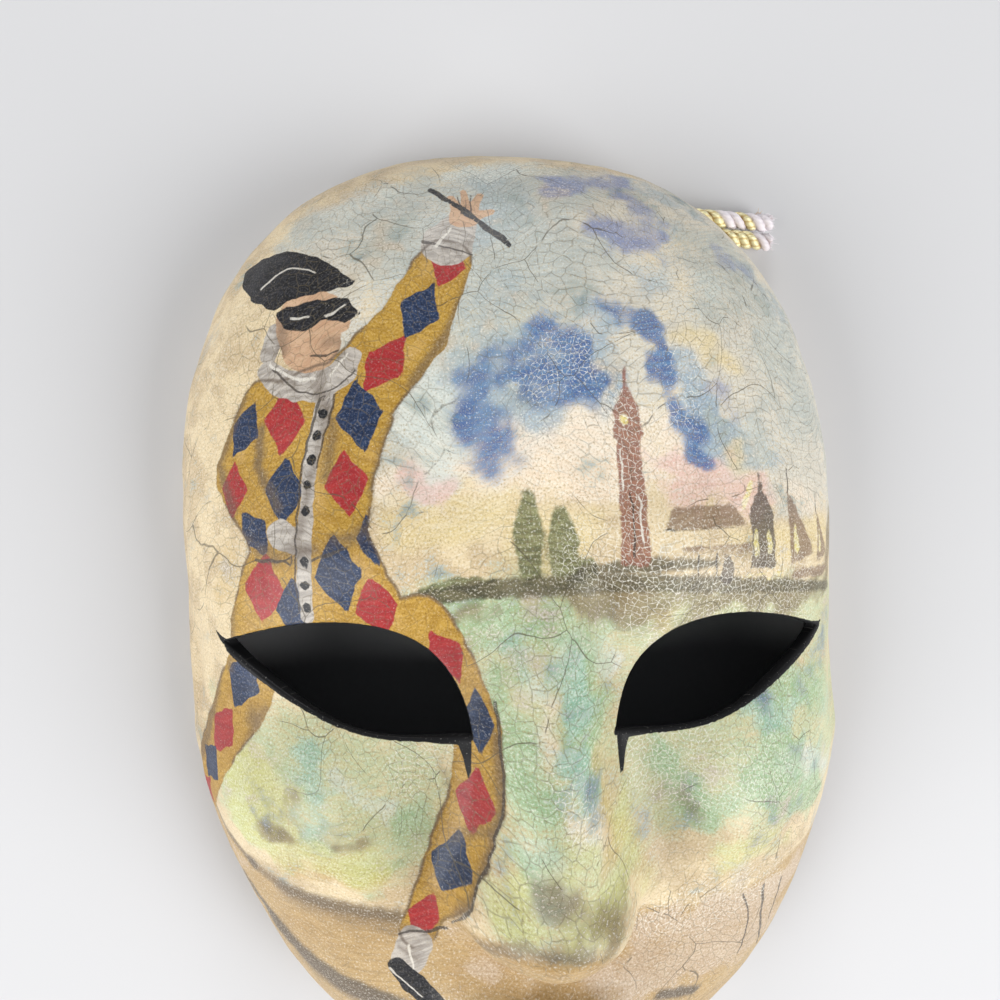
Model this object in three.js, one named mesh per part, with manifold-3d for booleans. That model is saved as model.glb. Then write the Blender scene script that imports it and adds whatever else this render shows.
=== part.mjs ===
// Full-face wall mask in papier-mache, lying face up on its rim, with its short hanging cord.
// Units are millimetres: +Z points out of the face, +Y to the forehead, +X to the viewer's right.

import * as THREE from "three";
import { mergeVertices } from "three/addons/utils/BufferGeometryUtils.js";
import Module from "manifold-3d";

const wasm = await Module();
wasm.setup();

// Outline of the rim: two half superellipses that meet on the widest line
const HALF_WIDTH = 87.6;
const CROWN_REACH = 101.4;
const CHIN_REACH = 143;
const WIDEST_Y = 27;
const OUTLINE_POWER = 2.43;
const OUTLINE_LEAN = 0.022;

// Cross-section of the dome, from its top down to the rim
const DOME_DEPTH = 56.6;
const SPREAD_POWER = 0.772;
const DROP_POWER = 0.887;
const WALL = 3;

// Side walls: narrow at the temples, full at the cheeks, flared towards the rim
const TEMPLE = { share: -0.03, y: -8, tall: 25.5 };
const CHEEK = { share: 0.033, y: -32.4, tall: 22 };
const FLARE = { share: 0.018, y: -20, tall: 40 };

// The face sits slightly turned in its outline, as on a hand-pulled shell
const FACE_TURN = THREE.MathUtils.degToRad(-1.1);

// Soft swellings of the face: height, place, half-width and half-height of each bell, and the
// share of its height that the inside of the wall follows
const SWELLINGS = [
  { name: "brow", height: 4, x: 30, y: 22, wide: 24, tall: 14, inside: 1 },
  { name: "eye hollow", height: -5, x: 40, y: -4, wide: 22, tall: 14, inside: 1 },
  { name: "cheekbone", height: 5, x: 44, y: -36, wide: 18, tall: 17, inside: 1 },
  { name: "wing of the nose", height: 7, x: 13.5, y: -50, wide: 6.5, tall: 7.5, inside: 0.4 },
  { name: "nostril", height: -3, x: 7.5, y: -61, wide: 3.6, tall: 3, inside: 0 },
  { name: "muzzle", height: 7, x: 0, y: -80, wide: 27, tall: 20, inside: 1 },
  { name: "groove over the lip", height: -1.3, x: 0, y: -71, wide: 3.2, tall: 5, inside: 0 },
  { name: "hollow under the lip", height: -3.5, x: 0, y: -96, wide: 18, tall: 5, inside: 0.4 },
];
const NOSE = {
  rootY: 26, bridgeY: 14, tipY: -50, roundY: -40, endY: -65.5, sweep: 0.025, sweepWidth: 20,
  root: 4, rise: 25, riseStart: 8, wide: 8.5, widen: 6.5, power: 2.4, insideShift: 3,
};
const MOUTH = { y: -81, halfWidth: 25, smile: 0.004, upper: 4.2, lower: 5, line: 3, inside: 0.3 };
const CHIN = { height: 15, y: -101, wide: 22, tall: 12 };

// Eye opening on the viewer's right: corner, crest, inner foot and lower lid, with curve handles
const EYE = {
  outer: [71, 2.4],
  upper: [[62, 5.5], [52, 7.9], [42, 7.7]],
  inner: [[24, 7.2], [17, -4], [15.6, -15.2]],
  foot: [[21, -16], [26, -16], [31, -15.7]],
  lower: [[45, -15.2], [57, -8], [71, 2.4]],
};
const EYE_STEPS = 9;

// Hanging cord, one length knotted behind the wall, with both cut ends out through one hole
const CORD_RADIUS = 2.4;
const CORD_SIDES = 10;
const CORD_STEP = 12;
const HOLE = { centre: [54, 111.3, 6.5], turn: THREE.MathUtils.degToRad(-2.5), halfSpan: 2.9, radius: 3, length: 34 };
const KNOT = { centre: [35.2, 110.8, 6.6], radius: 6.2, squash: 0.97 };

// Rows of cells across the outer and inner faces of the shell
const OUTER_CELLS = 48;
const INNER_CELLS = 36;
const CELL_BIAS = 1.2;
const SKIRT = 5;

const clamp01 = (value) => Math.min(1, Math.max(0, value));
const bell = (value, width) => Math.exp(-((value / width) ** 2));

function smoothstep(low, high, value) {
  const t = clamp01((value - low) / (high - low));
  return t * t * (3 - 2 * t);
}

function rimPoint(angle) {
  const power = 2 / OUTLINE_POWER;
  const c = Math.cos(angle);
  const s = Math.sin(angle);
  const reach = s > 0 ? CROWN_REACH : CHIN_REACH;
  return [
    HALF_WIDTH * Math.sign(c) * Math.abs(c) ** power,
    reach * Math.sign(s) * Math.abs(s) ** power,
  ];
}

function sideFactor(y, spread, drop) {
  const temple = bell(y - TEMPLE.y, TEMPLE.tall) * smoothstep(0.05, 0.45, drop) * smoothstep(0.2, 0.9, spread);
  const cheek = bell(y - CHEEK.y, CHEEK.tall) * spread;
  const low = (1 - smoothstep(0, 0.4, drop)) * smoothstep(0.5, 1, spread);
  const flare = bell(y - FLARE.y, FLARE.tall) * low;
  return 1 + TEMPLE.share * temple + CHEEK.share * cheek + FLARE.share * flare;
}

function noseHeight(x, y, inside) {
  const t = clamp01((NOSE.bridgeY - y) / (NOSE.bridgeY - NOSE.tipY));
  const ridge = Math.exp(-(Math.abs(x / (NOSE.wide + NOSE.widen * t)) ** NOSE.power));
  const start = smoothstep(NOSE.rootY, NOSE.riseStart, y);
  const end = NOSE.endY + NOSE.sweep * Math.min(x * x, NOSE.sweepWidth ** 2) + (inside ? NOSE.insideShift : 0);
  const round = 1 - clamp01((NOSE.roundY - y) / (NOSE.roundY - end)) ** 3;
  return (NOSE.root + NOSE.rise * t ** 1.15) * ridge * start * round;
}

function mouthHeight(x, y) {
  const share = clamp01(1 - (x / MOUTH.halfWidth) ** 2);
  const off = y - MOUTH.y - MOUTH.smile * x * x;
  const upper = MOUTH.upper * share * bell(off - 4.4 * share, 3.8);
  const lower = MOUTH.lower * share ** 1.2 * bell(off + 5.2 * share, 4.8);
  return upper + lower - MOUTH.line * share * bell(off, 1.6);
}

// The features stand on the dome; the inside of the wall follows them softened
function faceHeight(worldX, worldY, inside) {
  const x = worldX * Math.cos(FACE_TURN) + worldY * Math.sin(FACE_TURN);
  const y = worldY * Math.cos(FACE_TURN) - worldX * Math.sin(FACE_TURN);
  let height = noseHeight(x, y, inside) + mouthHeight(x, y) * (inside ? MOUTH.inside : 1);
  for (const swelling of SWELLINGS) {
    const across = bell(x - swelling.x, swelling.wide) + (swelling.x ? bell(x + swelling.x, swelling.wide) : 0);
    height += swelling.height * across * bell(y - swelling.y, swelling.tall) * (inside ? swelling.inside : 1);
  }
  return { height, chin: CHIN.height * bell(x, CHIN.wide) * bell(y - CHIN.y, CHIN.tall) };
}

// A point of the bare dome: reach is 0 at its top and 1 at the rim
function domePoint(angle, reach) {
  const tilt = reach * Math.PI / 2;
  const spread = Math.sin(tilt) ** SPREAD_POWER;
  const drop = Math.max(0, Math.cos(tilt)) ** DROP_POWER;
  const [rimX, rimY] = rimPoint(angle);
  const y = rimY * spread + WIDEST_Y;
  const x = rimX * spread * sideFactor(y, spread, drop) - OUTLINE_LEAN * y * spread * spread;
  return new THREE.Vector3(x, y, DOME_DEPTH * drop);
}

function facePoint(angle, reach, inside = false) {
  const spread = Math.sin(reach * Math.PI / 2) ** SPREAD_POWER;
  const point = domePoint(angle, reach);
  const face = faceHeight(point.x, point.y, inside);
  point.z += face.height * (1 - smoothstep(0.72, 1, spread)) + face.chin * (1 - smoothstep(0.92, 1, spread));
  return point;
}

function normalOf(surface, angle, reach) {
  const step = 0.004;
  const place = Math.max(0.02, Math.min(reach, 1 - step));
  const along = surface(angle + step, place).sub(surface(angle - step, place));
  const out = surface(angle, place + step).sub(surface(angle, place - step));
  return out.cross(along).normalize();
}

// The place on the dome over a point in plan, found by a few rounds of correction
function placeOver(x, y) {
  let spread = 0.5;
  let angle = 0;
  for (let round = 0; round < 12; round += 1) {
    const tilt = Math.asin(Math.min(1, spread ** (1 / SPREAD_POWER)));
    const drop = Math.cos(tilt) ** DROP_POWER;
    const flatX = (x + OUTLINE_LEAN * y * spread * spread) / sideFactor(y, spread, drop);
    const flatY = y - WIDEST_Y;
    const u = flatX / HALF_WIDTH;
    const v = flatY / (flatY > 0 ? CROWN_REACH : CHIN_REACH);
    spread = (Math.abs(u) ** OUTLINE_POWER + Math.abs(v) ** OUTLINE_POWER) ** (1 / OUTLINE_POWER);
    const half = OUTLINE_POWER / 2;
    angle = Math.atan2(Math.sign(v) * Math.abs(v) ** half, Math.sign(u) * Math.abs(u) ** half);
  }
  return { angle, reach: Math.asin(Math.min(1, spread ** (1 / SPREAD_POWER))) * 2 / Math.PI };
}

function toSolid(geometry) {
  const bare = geometry.index ? geometry.toNonIndexed() : geometry.clone();
  bare.deleteAttribute("normal");
  bare.deleteAttribute("uv");
  const merged = mergeVertices(bare, 1e-4);
  return new wasm.Manifold(new wasm.Mesh({
    numProp: 3,
    vertProperties: new Float32Array(merged.attributes.position.array),
    triVerts: new Uint32Array(merged.index.array),
  }));
}

function toGeometry(solid) {
  const mesh = solid.getMesh();
  const geometry = new THREE.BufferGeometry();
  geometry.setAttribute("position", new THREE.BufferAttribute(new Float32Array(mesh.vertProperties), 3));
  geometry.setIndex(new THREE.BufferAttribute(new Uint32Array(mesh.triVerts), 1));
  geometry.computeVertexNormals();
  return geometry;
}

// Square cells laid over the round dome, so that no cells crowd together at its top
function discPlace(column, row, cells) {
  const a = 2 * column / cells - 1;
  const b = 2 * row / cells - 1;
  if (a === 0 && b === 0) return { angle: 0, reach: 0 };
  const sideways = Math.abs(a) > Math.abs(b);
  const radius = sideways ? a : b;
  const turn = sideways ? (Math.PI / 4) * (b / a) : Math.PI / 2 - (Math.PI / 4) * (a / b);
  return { angle: radius < 0 ? turn + Math.PI : turn, reach: Math.abs(radius) ** CELL_BIAS };
}

function shellSolid(cells, depth, bottom) {
  const surface = (angle, reach) => facePoint(angle, reach, depth > 0);
  const positions = [];
  const indices = [];
  const at = (column, row) => column * (cells + 1) + row;
  for (let column = 0; column <= cells; column += 1) {
    for (let row = 0; row <= cells; row += 1) {
      const { angle, reach } = discPlace(column, row, cells);
      const point = surface(angle, reach).addScaledVector(normalOf(surface, angle, reach), -depth);
      const edge = column === 0 || row === 0 || column === cells || row === cells;
      positions.push(point.x, point.y, edge ? bottom : Math.max(point.z, bottom + 0.05));
    }
  }
  for (let column = 0; column < cells; column += 1) {
    for (let row = 0; row < cells; row += 1) {
      const corners = [at(column, row), at(column + 1, row), at(column + 1, row + 1), at(column, row + 1)];
      const rising = (column < cells / 2) === (row < cells / 2);
      const [a, b, c, d] = rising ? corners : [corners[1], corners[2], corners[3], corners[0]];
      indices.push(a, b, c, a, c, d);
    }
  }
  const ring = [];
  for (let i = 0; i < cells; i += 1) ring.push(at(i, 0));
  for (let i = 0; i < cells; i += 1) ring.push(at(cells, i));
  for (let i = cells; i > 0; i -= 1) ring.push(at(i, cells));
  for (let i = cells; i > 0; i -= 1) ring.push(at(0, i));
  positions.push(0, WIDEST_Y, bottom);
  const centre = positions.length / 3 - 1;
  ring.forEach((corner, i) => indices.push(centre, ring[(i + 1) % ring.length], corner));
  const geometry = new THREE.BufferGeometry();
  geometry.setAttribute("position", new THREE.Float32BufferAttribute(positions, 3));
  geometry.setIndex(indices);
  return toSolid(geometry);
}

function eyeOutline(side) {
  const path = new THREE.Path().moveTo(...EYE.outer);
  for (const part of [EYE.upper, EYE.inner, EYE.foot, EYE.lower]) path.bezierCurveTo(...part.flat());
  const points = path.getPoints(EYE_STEPS).slice(0, -1);
  const turned = points.map((p) => new THREE.Vector2(side * p.x, p.y).rotateAround(new THREE.Vector2(), FACE_TURN));
  return THREE.ShapeUtils.isClockWise(turned) ? turned.reverse() : turned;
}

// A plug through the wall whose sides stand square to the dome all round the eye
function eyePlug(side) {
  const outline = eyeOutline(side);
  const outside = 14;
  const inside = 10;
  const positions = [];
  for (const reachOut of [outside, -inside]) {
    for (const point of outline) {
      const { angle, reach } = placeOver(point.x, point.y);
      const spot = facePoint(angle, reach).addScaledVector(normalOf(domePoint, angle, reach), reachOut);
      positions.push(spot.x, spot.y, spot.z);
    }
  }
  const count = outline.length;
  const indices = [];
  for (const [a, b, c] of THREE.ShapeUtils.triangulateShape(outline, [])) {
    indices.push(a, b, c);
    indices.push(count + a, count + c, count + b);
  }
  for (let i = 0; i < count; i += 1) {
    const next = (i + 1) % count;
    indices.push(i, count + i, next, next, count + i, count + next);
  }
  const geometry = new THREE.BufferGeometry();
  geometry.setAttribute("position", new THREE.Float32BufferAttribute(positions, 3));
  geometry.setIndex(indices);
  return toSolid(geometry);
}

function cordHole() {
  const slot = new THREE.Shape();
  slot.absarc(HOLE.halfSpan, 0, HOLE.radius, -Math.PI / 2, Math.PI / 2, false);
  slot.absarc(-HOLE.halfSpan, 0, HOLE.radius, Math.PI / 2, 1.5 * Math.PI, false);
  const geometry = new THREE.ExtrudeGeometry(slot, { depth: HOLE.length, bevelEnabled: false, curveSegments: 6 });
  geometry.translate(0, 0, -HOLE.length / 2);
  geometry.applyMatrix4(new THREE.Matrix4().makeBasis(
    new THREE.Vector3(0, 1, 0),
    new THREE.Vector3(0, 0, 1),
    new THREE.Vector3(1, 0, 0),
  ));
  geometry.rotateZ(HOLE.turn);
  geometry.translate(...HOLE.centre);
  return toSolid(geometry);
}

function shellGeometry() {
  let shell = shellSolid(OUTER_CELLS, 0, 0);
  shell = shell.subtract(shellSolid(INNER_CELLS, WALL, -SKIRT));
  shell = shell.subtract(eyePlug(1)).subtract(eyePlug(-1)).subtract(cordHole());
  return toGeometry(shell);
}

// Routes of the cord, from the knot outwards for the cut ends and round from knot to knot for the loop
const TAIL_UPPER = [
  [42.0, 113.5, 6.7], [44.9, 113.8, 6.7], [47.9, 114.1, 6.7], [50.9, 114.2, 6.6], [53.4, 114.1, 6.5],
  [55.9, 114.0, 6.4], [58.4, 113.9, 6.2], [60.9, 113.8, 5.9], [63.4, 113.7, 5.6], [65.9, 113.6, 5.3],
  [68.4, 113.6, 5.0], [70.9, 113.5, 4.7], [73.4, 113.4, 4.4], [75.9, 113.3, 4.1], [78.3, 113.3, 3.9],
];
const TAIL_LOWER = [
  [42.0, 108.3, 6.7], [44.9, 108.6, 6.7], [47.9, 108.9, 6.7], [50.9, 109.1, 6.6], [53.4, 109.0, 6.5],
  [55.9, 108.9, 6.4], [58.4, 108.8, 6.1], [60.9, 108.7, 5.8], [63.4, 108.6, 5.4], [65.9, 108.5, 5.0],
  [68.4, 108.4, 4.6], [70.9, 108.2, 4.3], [73.4, 108.0, 4.0], [75.8, 107.9, 3.7], [78.0, 107.8, 3.5],
];
const LOOP = [
  [28.2, 113.4, 5.6], [25.0, 113.9, 4.5], [20.5, 114.6, 3.3], [13.0, 114.2, 2.7], [4.5, 112.8, 2.6],
  [-4.0, 110.4, 2.6], [-12.6, 107.0, 2.6], [-21.2, 102.3, 2.6], [-29.0, 96.0, 2.6], [-34.5, 88.4, 2.6],
  [-36.6, 80.0, 2.6], [-34.4, 71.8, 2.6], [-28.4, 65.4, 2.6], [-20.0, 62.2, 2.6], [-11.0, 63.0, 2.6],
  [-2.8, 67.2, 2.6], [4.4, 73.6, 2.6], [11.0, 81.0, 2.6], [16.8, 88.8, 2.7], [21.8, 96.4, 3.2],
  [25.4, 102.6, 4.2], [28.4, 106.6, 5.3],
];

function cordGeometry(route) {
  const curve = new THREE.CatmullRomCurve3(route.map((p) => new THREE.Vector3(...p)));
  const section = new THREE.Shape();
  section.absarc(0, 0, CORD_RADIUS, 0, 2 * Math.PI, false);
  const steps = Math.max(3, Math.round(curve.getLength() / CORD_STEP));
  return new THREE.ExtrudeGeometry(section, {
    steps,
    extrudePath: curve,
    curveSegments: CORD_SIDES / 2,
    bevelEnabled: false,
  });
}

function knotGeometry() {
  const knot = new THREE.SphereGeometry(KNOT.radius, 14, 10);
  knot.scale(1, 1, KNOT.squash);
  knot.translate(...KNOT.centre);
  return knot;
}

const papier = new THREE.MeshStandardMaterial({ color: 0xd9cfae, roughness: 0.45, metalness: 0 });
const goldThread = new THREE.MeshStandardMaterial({ color: 0xd8c07a, roughness: 0.5, metalness: 0.2 });

// The frame's origin is under the middle of the rim's bounding box
function rimMiddle() {
  const box = new THREE.Box2();
  for (let i = 0; i < 720; i += 1) {
    const point = facePoint(i * Math.PI / 360, 1);
    box.expandByPoint(new THREE.Vector2(point.x, point.y));
  }
  return box.getCenter(new THREE.Vector2());
}

const middle = rimMiddle();
const mask = new THREE.Group();

function addPiece(name, geometry, material) {
  const mesh = new THREE.Mesh(geometry, material);
  mesh.name = name;
  mesh.position.set(-middle.x, -middle.y, 0);
  mask.add(mesh);
}

addPiece("mask_shell", shellGeometry(), papier);
addPiece("cord_knot", knotGeometry(), goldThread);
addPiece("cord_tail_upper", cordGeometry(TAIL_UPPER), goldThread);
addPiece("cord_tail_lower", cordGeometry(TAIL_LOWER), goldThread);
addPiece("cord_loop", cordGeometry(LOOP), goldThread);

export default mask;
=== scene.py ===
# Looks of a painted papier-mache wall mask and its twisted cord, built around the frame of its solids.
# The surface and the picture are worked out in millimetres, and every piece is made in metres.

import bmesh
import bpy
import numpy as np
from mathutils import Matrix


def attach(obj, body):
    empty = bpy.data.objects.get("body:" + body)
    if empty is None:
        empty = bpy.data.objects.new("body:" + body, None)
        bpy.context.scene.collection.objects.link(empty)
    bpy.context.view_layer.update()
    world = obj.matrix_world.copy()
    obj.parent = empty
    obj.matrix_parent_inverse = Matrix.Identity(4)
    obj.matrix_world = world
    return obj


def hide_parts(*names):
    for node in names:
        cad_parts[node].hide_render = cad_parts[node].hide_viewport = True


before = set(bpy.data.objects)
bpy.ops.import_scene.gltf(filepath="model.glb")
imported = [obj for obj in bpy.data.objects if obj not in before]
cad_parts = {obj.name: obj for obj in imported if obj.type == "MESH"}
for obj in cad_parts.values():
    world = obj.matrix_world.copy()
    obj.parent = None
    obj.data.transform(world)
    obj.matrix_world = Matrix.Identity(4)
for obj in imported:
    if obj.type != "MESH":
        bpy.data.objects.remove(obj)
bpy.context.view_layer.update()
scene = bpy.context.scene
MM = 0.001

# Driving dimensions of the shell, the same as those of its solid
HALF_WIDTH = 87.6
CROWN_REACH = 101.4
CHIN_REACH = 143
WIDEST_Y = 27
OUTLINE_POWER = 2.43
OUTLINE_LEAN = 0.022
DOME_DEPTH = 56.6
SPREAD_POWER = 0.772
DROP_POWER = 0.887
WALL = 3
TEMPLE = dict(share=-0.03, y=-8, tall=25.5)
CHEEK = dict(share=0.033, y=-32.4, tall=22)
FLARE = dict(share=0.018, y=-20, tall=40)
FACE_TURN = np.radians(-1.1)

# Soft swellings: height, place, half-width, half-height and the share that the inside follows
SWELLINGS = {
    "brow": (4, 30, 22, 24, 14, 1),
    "eye hollow": (-5, 40, -4, 22, 14, 1),
    "cheekbone": (5, 44, -36, 18, 17, 1),
    "wing of the nose": (7, 13.5, -50, 6.5, 7.5, 0.4),
    "nostril": (-3, 7.5, -61, 3.6, 3, 0),
    "muzzle": (7, 0, -80, 27, 20, 1),
    "groove over the lip": (-1.3, 0, -71, 3.2, 5, 0),
    "hollow under the lip": (-3.5, 0, -96, 18, 5, 0.4),
}
NOSE = dict(root_y=26, bridge_y=14, tip_y=-50, round_y=-40, end_y=-65.5, sweep=0.025, sweep_width=20,
            root=4, rise=25, rise_start=8, wide=8.5, widen=6.5, power=2.4, inside_shift=3)
MOUTH = dict(y=-81, half_width=25, smile=0.004, upper=4.2, upper_rise=4.4, upper_soft=3.8, lower=5,
             lower_drop=5.2, lower_soft=4.8, line=3, line_soft=1.6, inside=0.3)
CHIN = dict(height=15, y=-101, wide=22, tall=12)

# Eye opening on the viewer's right: a corner and four curves with their handles
EYE_CORNER = (71, 2.4)
EYE_CURVES = [
    ((62, 5.5), (52, 7.9), (42, 7.7)),
    ((24, 7.2), (17, -4), (15.6, -15.2)),
    ((21, -16), (26, -16), (31, -15.7)),
    ((45, -15.2), (57, -8), (71, 2.4)),
]
EYE_STEPS = 26
# Part of the face, in plan, that both openings lie in: half-width, middle height and half-height
EYE_REGION = (90, -4, 40)

# Hanging cord and the hole that both cut ends come out of
CORD_RADIUS = 2.4
HOLE = dict(centre=(54, 111.3, 6.5), turn=np.radians(-2.5), half_span=2.9, radius=3, near_x=-25, near_z=14)
KNOT = dict(centre=(35.2, 110.8, 6.6), radius=6.2)
TAIL_UPPER = [
    (42.0, 113.5, 6.7), (44.9, 113.8, 6.7), (47.9, 114.1, 6.7), (50.9, 114.2, 6.6), (53.4, 114.1, 6.5),
    (55.9, 114.0, 6.4), (58.4, 113.9, 6.2), (60.9, 113.8, 5.9), (63.4, 113.7, 5.6), (65.9, 113.6, 5.3),
    (68.4, 113.6, 5.0), (70.9, 113.5, 4.7), (73.4, 113.4, 4.4), (75.9, 113.3, 4.1), (78.3, 113.3, 3.9),
]
TAIL_LOWER = [
    (42.0, 108.3, 6.7), (44.9, 108.6, 6.7), (47.9, 108.9, 6.7), (50.9, 109.1, 6.6), (53.4, 109.0, 6.5),
    (55.9, 108.9, 6.4), (58.4, 108.8, 6.1), (60.9, 108.7, 5.8), (63.4, 108.6, 5.4), (65.9, 108.5, 5.0),
    (68.4, 108.4, 4.6), (70.9, 108.2, 4.3), (73.4, 108.0, 4.0), (75.8, 107.9, 3.7), (78.0, 107.8, 3.5),
]
LOOP = [
    (28.2, 113.4, 5.6), (25.0, 113.9, 4.5), (20.5, 114.6, 3.3), (13.0, 114.2, 2.7), (4.5, 112.8, 2.6),
    (-4.0, 110.4, 2.6), (-12.6, 107.0, 2.6), (-21.2, 102.3, 2.6), (-29.0, 96.0, 2.6), (-34.5, 88.4, 2.6),
    (-36.6, 80.0, 2.6), (-34.4, 71.8, 2.6), (-28.4, 65.4, 2.6), (-20.0, 62.2, 2.6), (-11.0, 63.0, 2.6),
    (-2.8, 67.2, 2.6), (4.4, 73.6, 2.6), (11.0, 81.0, 2.6), (16.8, 88.8, 2.7), (21.8, 96.4, 3.2),
    (25.4, 102.6, 4.2), (28.4, 106.6, 5.3),
]

# Camera of the photograph, found from the outline's perspective: place, turns and focal length
CAMERA_PLACE = (-20.84, 31.49, 208.25)
CAMERA_TURNS = np.radians((4.777, 0.894, -1.859))
CAMERA_LENS = 26.17
SENSOR_WIDTH = 36
CLIP_START = 0.01


# Surface of the shell

def bell(value, width):
    return np.exp(-((value / width) ** 2))


def smoothstep(low, high, value):
    t = np.clip((value - low) / (high - low), 0, 1)
    return t * t * (3 - 2 * t)


def rim_point(angle):
    power = 2 / OUTLINE_POWER
    c, s = np.cos(angle), np.sin(angle)
    reach = np.where(s > 0, CROWN_REACH, CHIN_REACH)
    return HALF_WIDTH * np.sign(c) * np.abs(c) ** power, reach * np.sign(s) * np.abs(s) ** power


def side_factor(y, spread, drop):
    temple = bell(y - TEMPLE["y"], TEMPLE["tall"]) * smoothstep(0.05, 0.45, drop)
    temple = temple * smoothstep(0.2, 0.9, spread)
    cheek = bell(y - CHEEK["y"], CHEEK["tall"]) * spread
    low = (1 - smoothstep(0, 0.4, drop)) * smoothstep(0.5, 1, spread)
    flare = bell(y - FLARE["y"], FLARE["tall"]) * low
    return 1 + TEMPLE["share"] * temple + CHEEK["share"] * cheek + FLARE["share"] * flare


def nose_height(x, y, inside):
    t = np.clip((NOSE["bridge_y"] - y) / (NOSE["bridge_y"] - NOSE["tip_y"]), 0, 1)
    ridge = np.exp(-(np.abs(x / (NOSE["wide"] + NOSE["widen"] * t)) ** NOSE["power"]))
    start = smoothstep(NOSE["root_y"], NOSE["rise_start"], y)
    sweep = NOSE["sweep"] * np.minimum(x * x, NOSE["sweep_width"] ** 2)
    end = NOSE["end_y"] + sweep + (NOSE["inside_shift"] if inside else 0)
    rounding = 1 - np.clip((NOSE["round_y"] - y) / (NOSE["round_y"] - end), 0, 1) ** 3
    return (NOSE["root"] + NOSE["rise"] * t ** 1.15) * ridge * start * rounding


def mouth_height(x, y):
    share = np.clip(1 - (x / MOUTH["half_width"]) ** 2, 0, 1)
    off = y - MOUTH["y"] - MOUTH["smile"] * x * x
    upper = MOUTH["upper"] * share * bell(off - MOUTH["upper_rise"] * share, MOUTH["upper_soft"])
    lower = MOUTH["lower"] * share ** 1.2 * bell(off + MOUTH["lower_drop"] * share, MOUTH["lower_soft"])
    return upper + lower - MOUTH["line"] * share * bell(off, MOUTH["line_soft"])


def face_height(world_x, world_y, inside):
    x = world_x * np.cos(FACE_TURN) + world_y * np.sin(FACE_TURN)
    y = world_y * np.cos(FACE_TURN) - world_x * np.sin(FACE_TURN)
    height = nose_height(x, y, inside) + mouth_height(x, y) * (MOUTH["inside"] if inside else 1)
    for lift, at_x, at_y, wide, tall, share in SWELLINGS.values():
        across = bell(x - at_x, wide) + (bell(x + at_x, wide) if at_x else 0)
        height = height + lift * across * bell(y - at_y, tall) * (share if inside else 1)
    return height, CHIN["height"] * bell(x, CHIN["wide"]) * bell(y - CHIN["y"], CHIN["tall"])


def spread_of(reach):
    return np.sin(reach * np.pi / 2) ** SPREAD_POWER


def dome_point(angle, reach):
    spread = spread_of(reach)
    drop = np.maximum(0, np.cos(reach * np.pi / 2)) ** DROP_POWER
    rim_x, rim_y = rim_point(angle)
    y = rim_y * spread + WIDEST_Y
    x = rim_x * spread * side_factor(y, spread, drop) - OUTLINE_LEAN * y * spread * spread
    return np.stack([x, y, DOME_DEPTH * drop], -1)


def face_point(angle, reach, inside=False):
    point = dome_point(angle, reach)
    spread = spread_of(reach)
    height, chin = face_height(point[..., 0], point[..., 1], inside)
    point[..., 2] += height * (1 - smoothstep(0.72, 1, spread)) + chin * (1 - smoothstep(0.92, 1, spread))
    return point


def normal_of(surface, angle, reach, step=0.004):
    place = np.clip(reach, 0.02, 1 - step)
    along = surface(angle + step, place) - surface(angle - step, place)
    out = surface(angle, place + step) - surface(angle, place - step)
    normal = np.cross(out, along)
    return normal / np.linalg.norm(normal, axis=-1, keepdims=True)


PLACE_ROUNDS = 14


def place_over(x, y):
    """The dome's angle and reach over a point in plan, by a few rounds of correction."""
    spread = np.full_like(x, 0.5)
    angle = np.zeros_like(x)
    for _ in range(PLACE_ROUNDS):
        tilt = np.arcsin(np.minimum(1, spread ** (1 / SPREAD_POWER)))
        drop = np.cos(tilt) ** DROP_POWER
        u = (x + OUTLINE_LEAN * y * spread * spread) / side_factor(y, spread, drop) / HALF_WIDTH
        flat_y = y - WIDEST_Y
        v = flat_y / np.where(flat_y > 0, CROWN_REACH, CHIN_REACH)
        spread = (np.abs(u) ** OUTLINE_POWER + np.abs(v) ** OUTLINE_POWER) ** (1 / OUTLINE_POWER)
        half = OUTLINE_POWER / 2
        angle = np.arctan2(np.sign(v) * np.abs(v) ** half, np.sign(u) * np.abs(u) ** half)
    return angle, np.arcsin(np.minimum(1, spread ** (1 / SPREAD_POWER))) * 2 / np.pi


def ripple(points, length, seed, waves=14):
    """Smooth seeded unevenness from -1 to 1, a sum of waves of about the given length."""
    draw = np.random.default_rng(seed)
    total = np.zeros(points.shape[:-1])
    for _ in range(waves):
        direction = draw.normal(size=points.shape[-1])
        direction /= np.linalg.norm(direction)
        pace = 2 * np.pi / (length * draw.uniform(0.6, 1.6))
        total += np.sin(points @ direction * pace + draw.uniform(0, 2 * np.pi))
    return total / np.sqrt(waves / 2) / 2.2


# Hand-made unevenness of the paper: height and length of the waves, and the reach where it starts to fade
UNEVEN = [(0.28, 26), (0.12, 11), (0.035, 4.5)]
FADE_FROM = 0.965
# Soft upright folds where the paper was pressed in at the temple: x, lower y, upper y, height, half-width.
# They wander sideways by up to the first figure, over a length set by the second.
FOLD_WANDER = (1.6, 7)
FOLDS = [
    (-84.5, -24, 8, 0.7, 2.2), (-79.5, -34, -4, 0.55, 1.8), (-82.6, -12, 26, 0.45, 1.8),
    (83.5, -30, 2, 0.5, 2.2),
]


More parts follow.
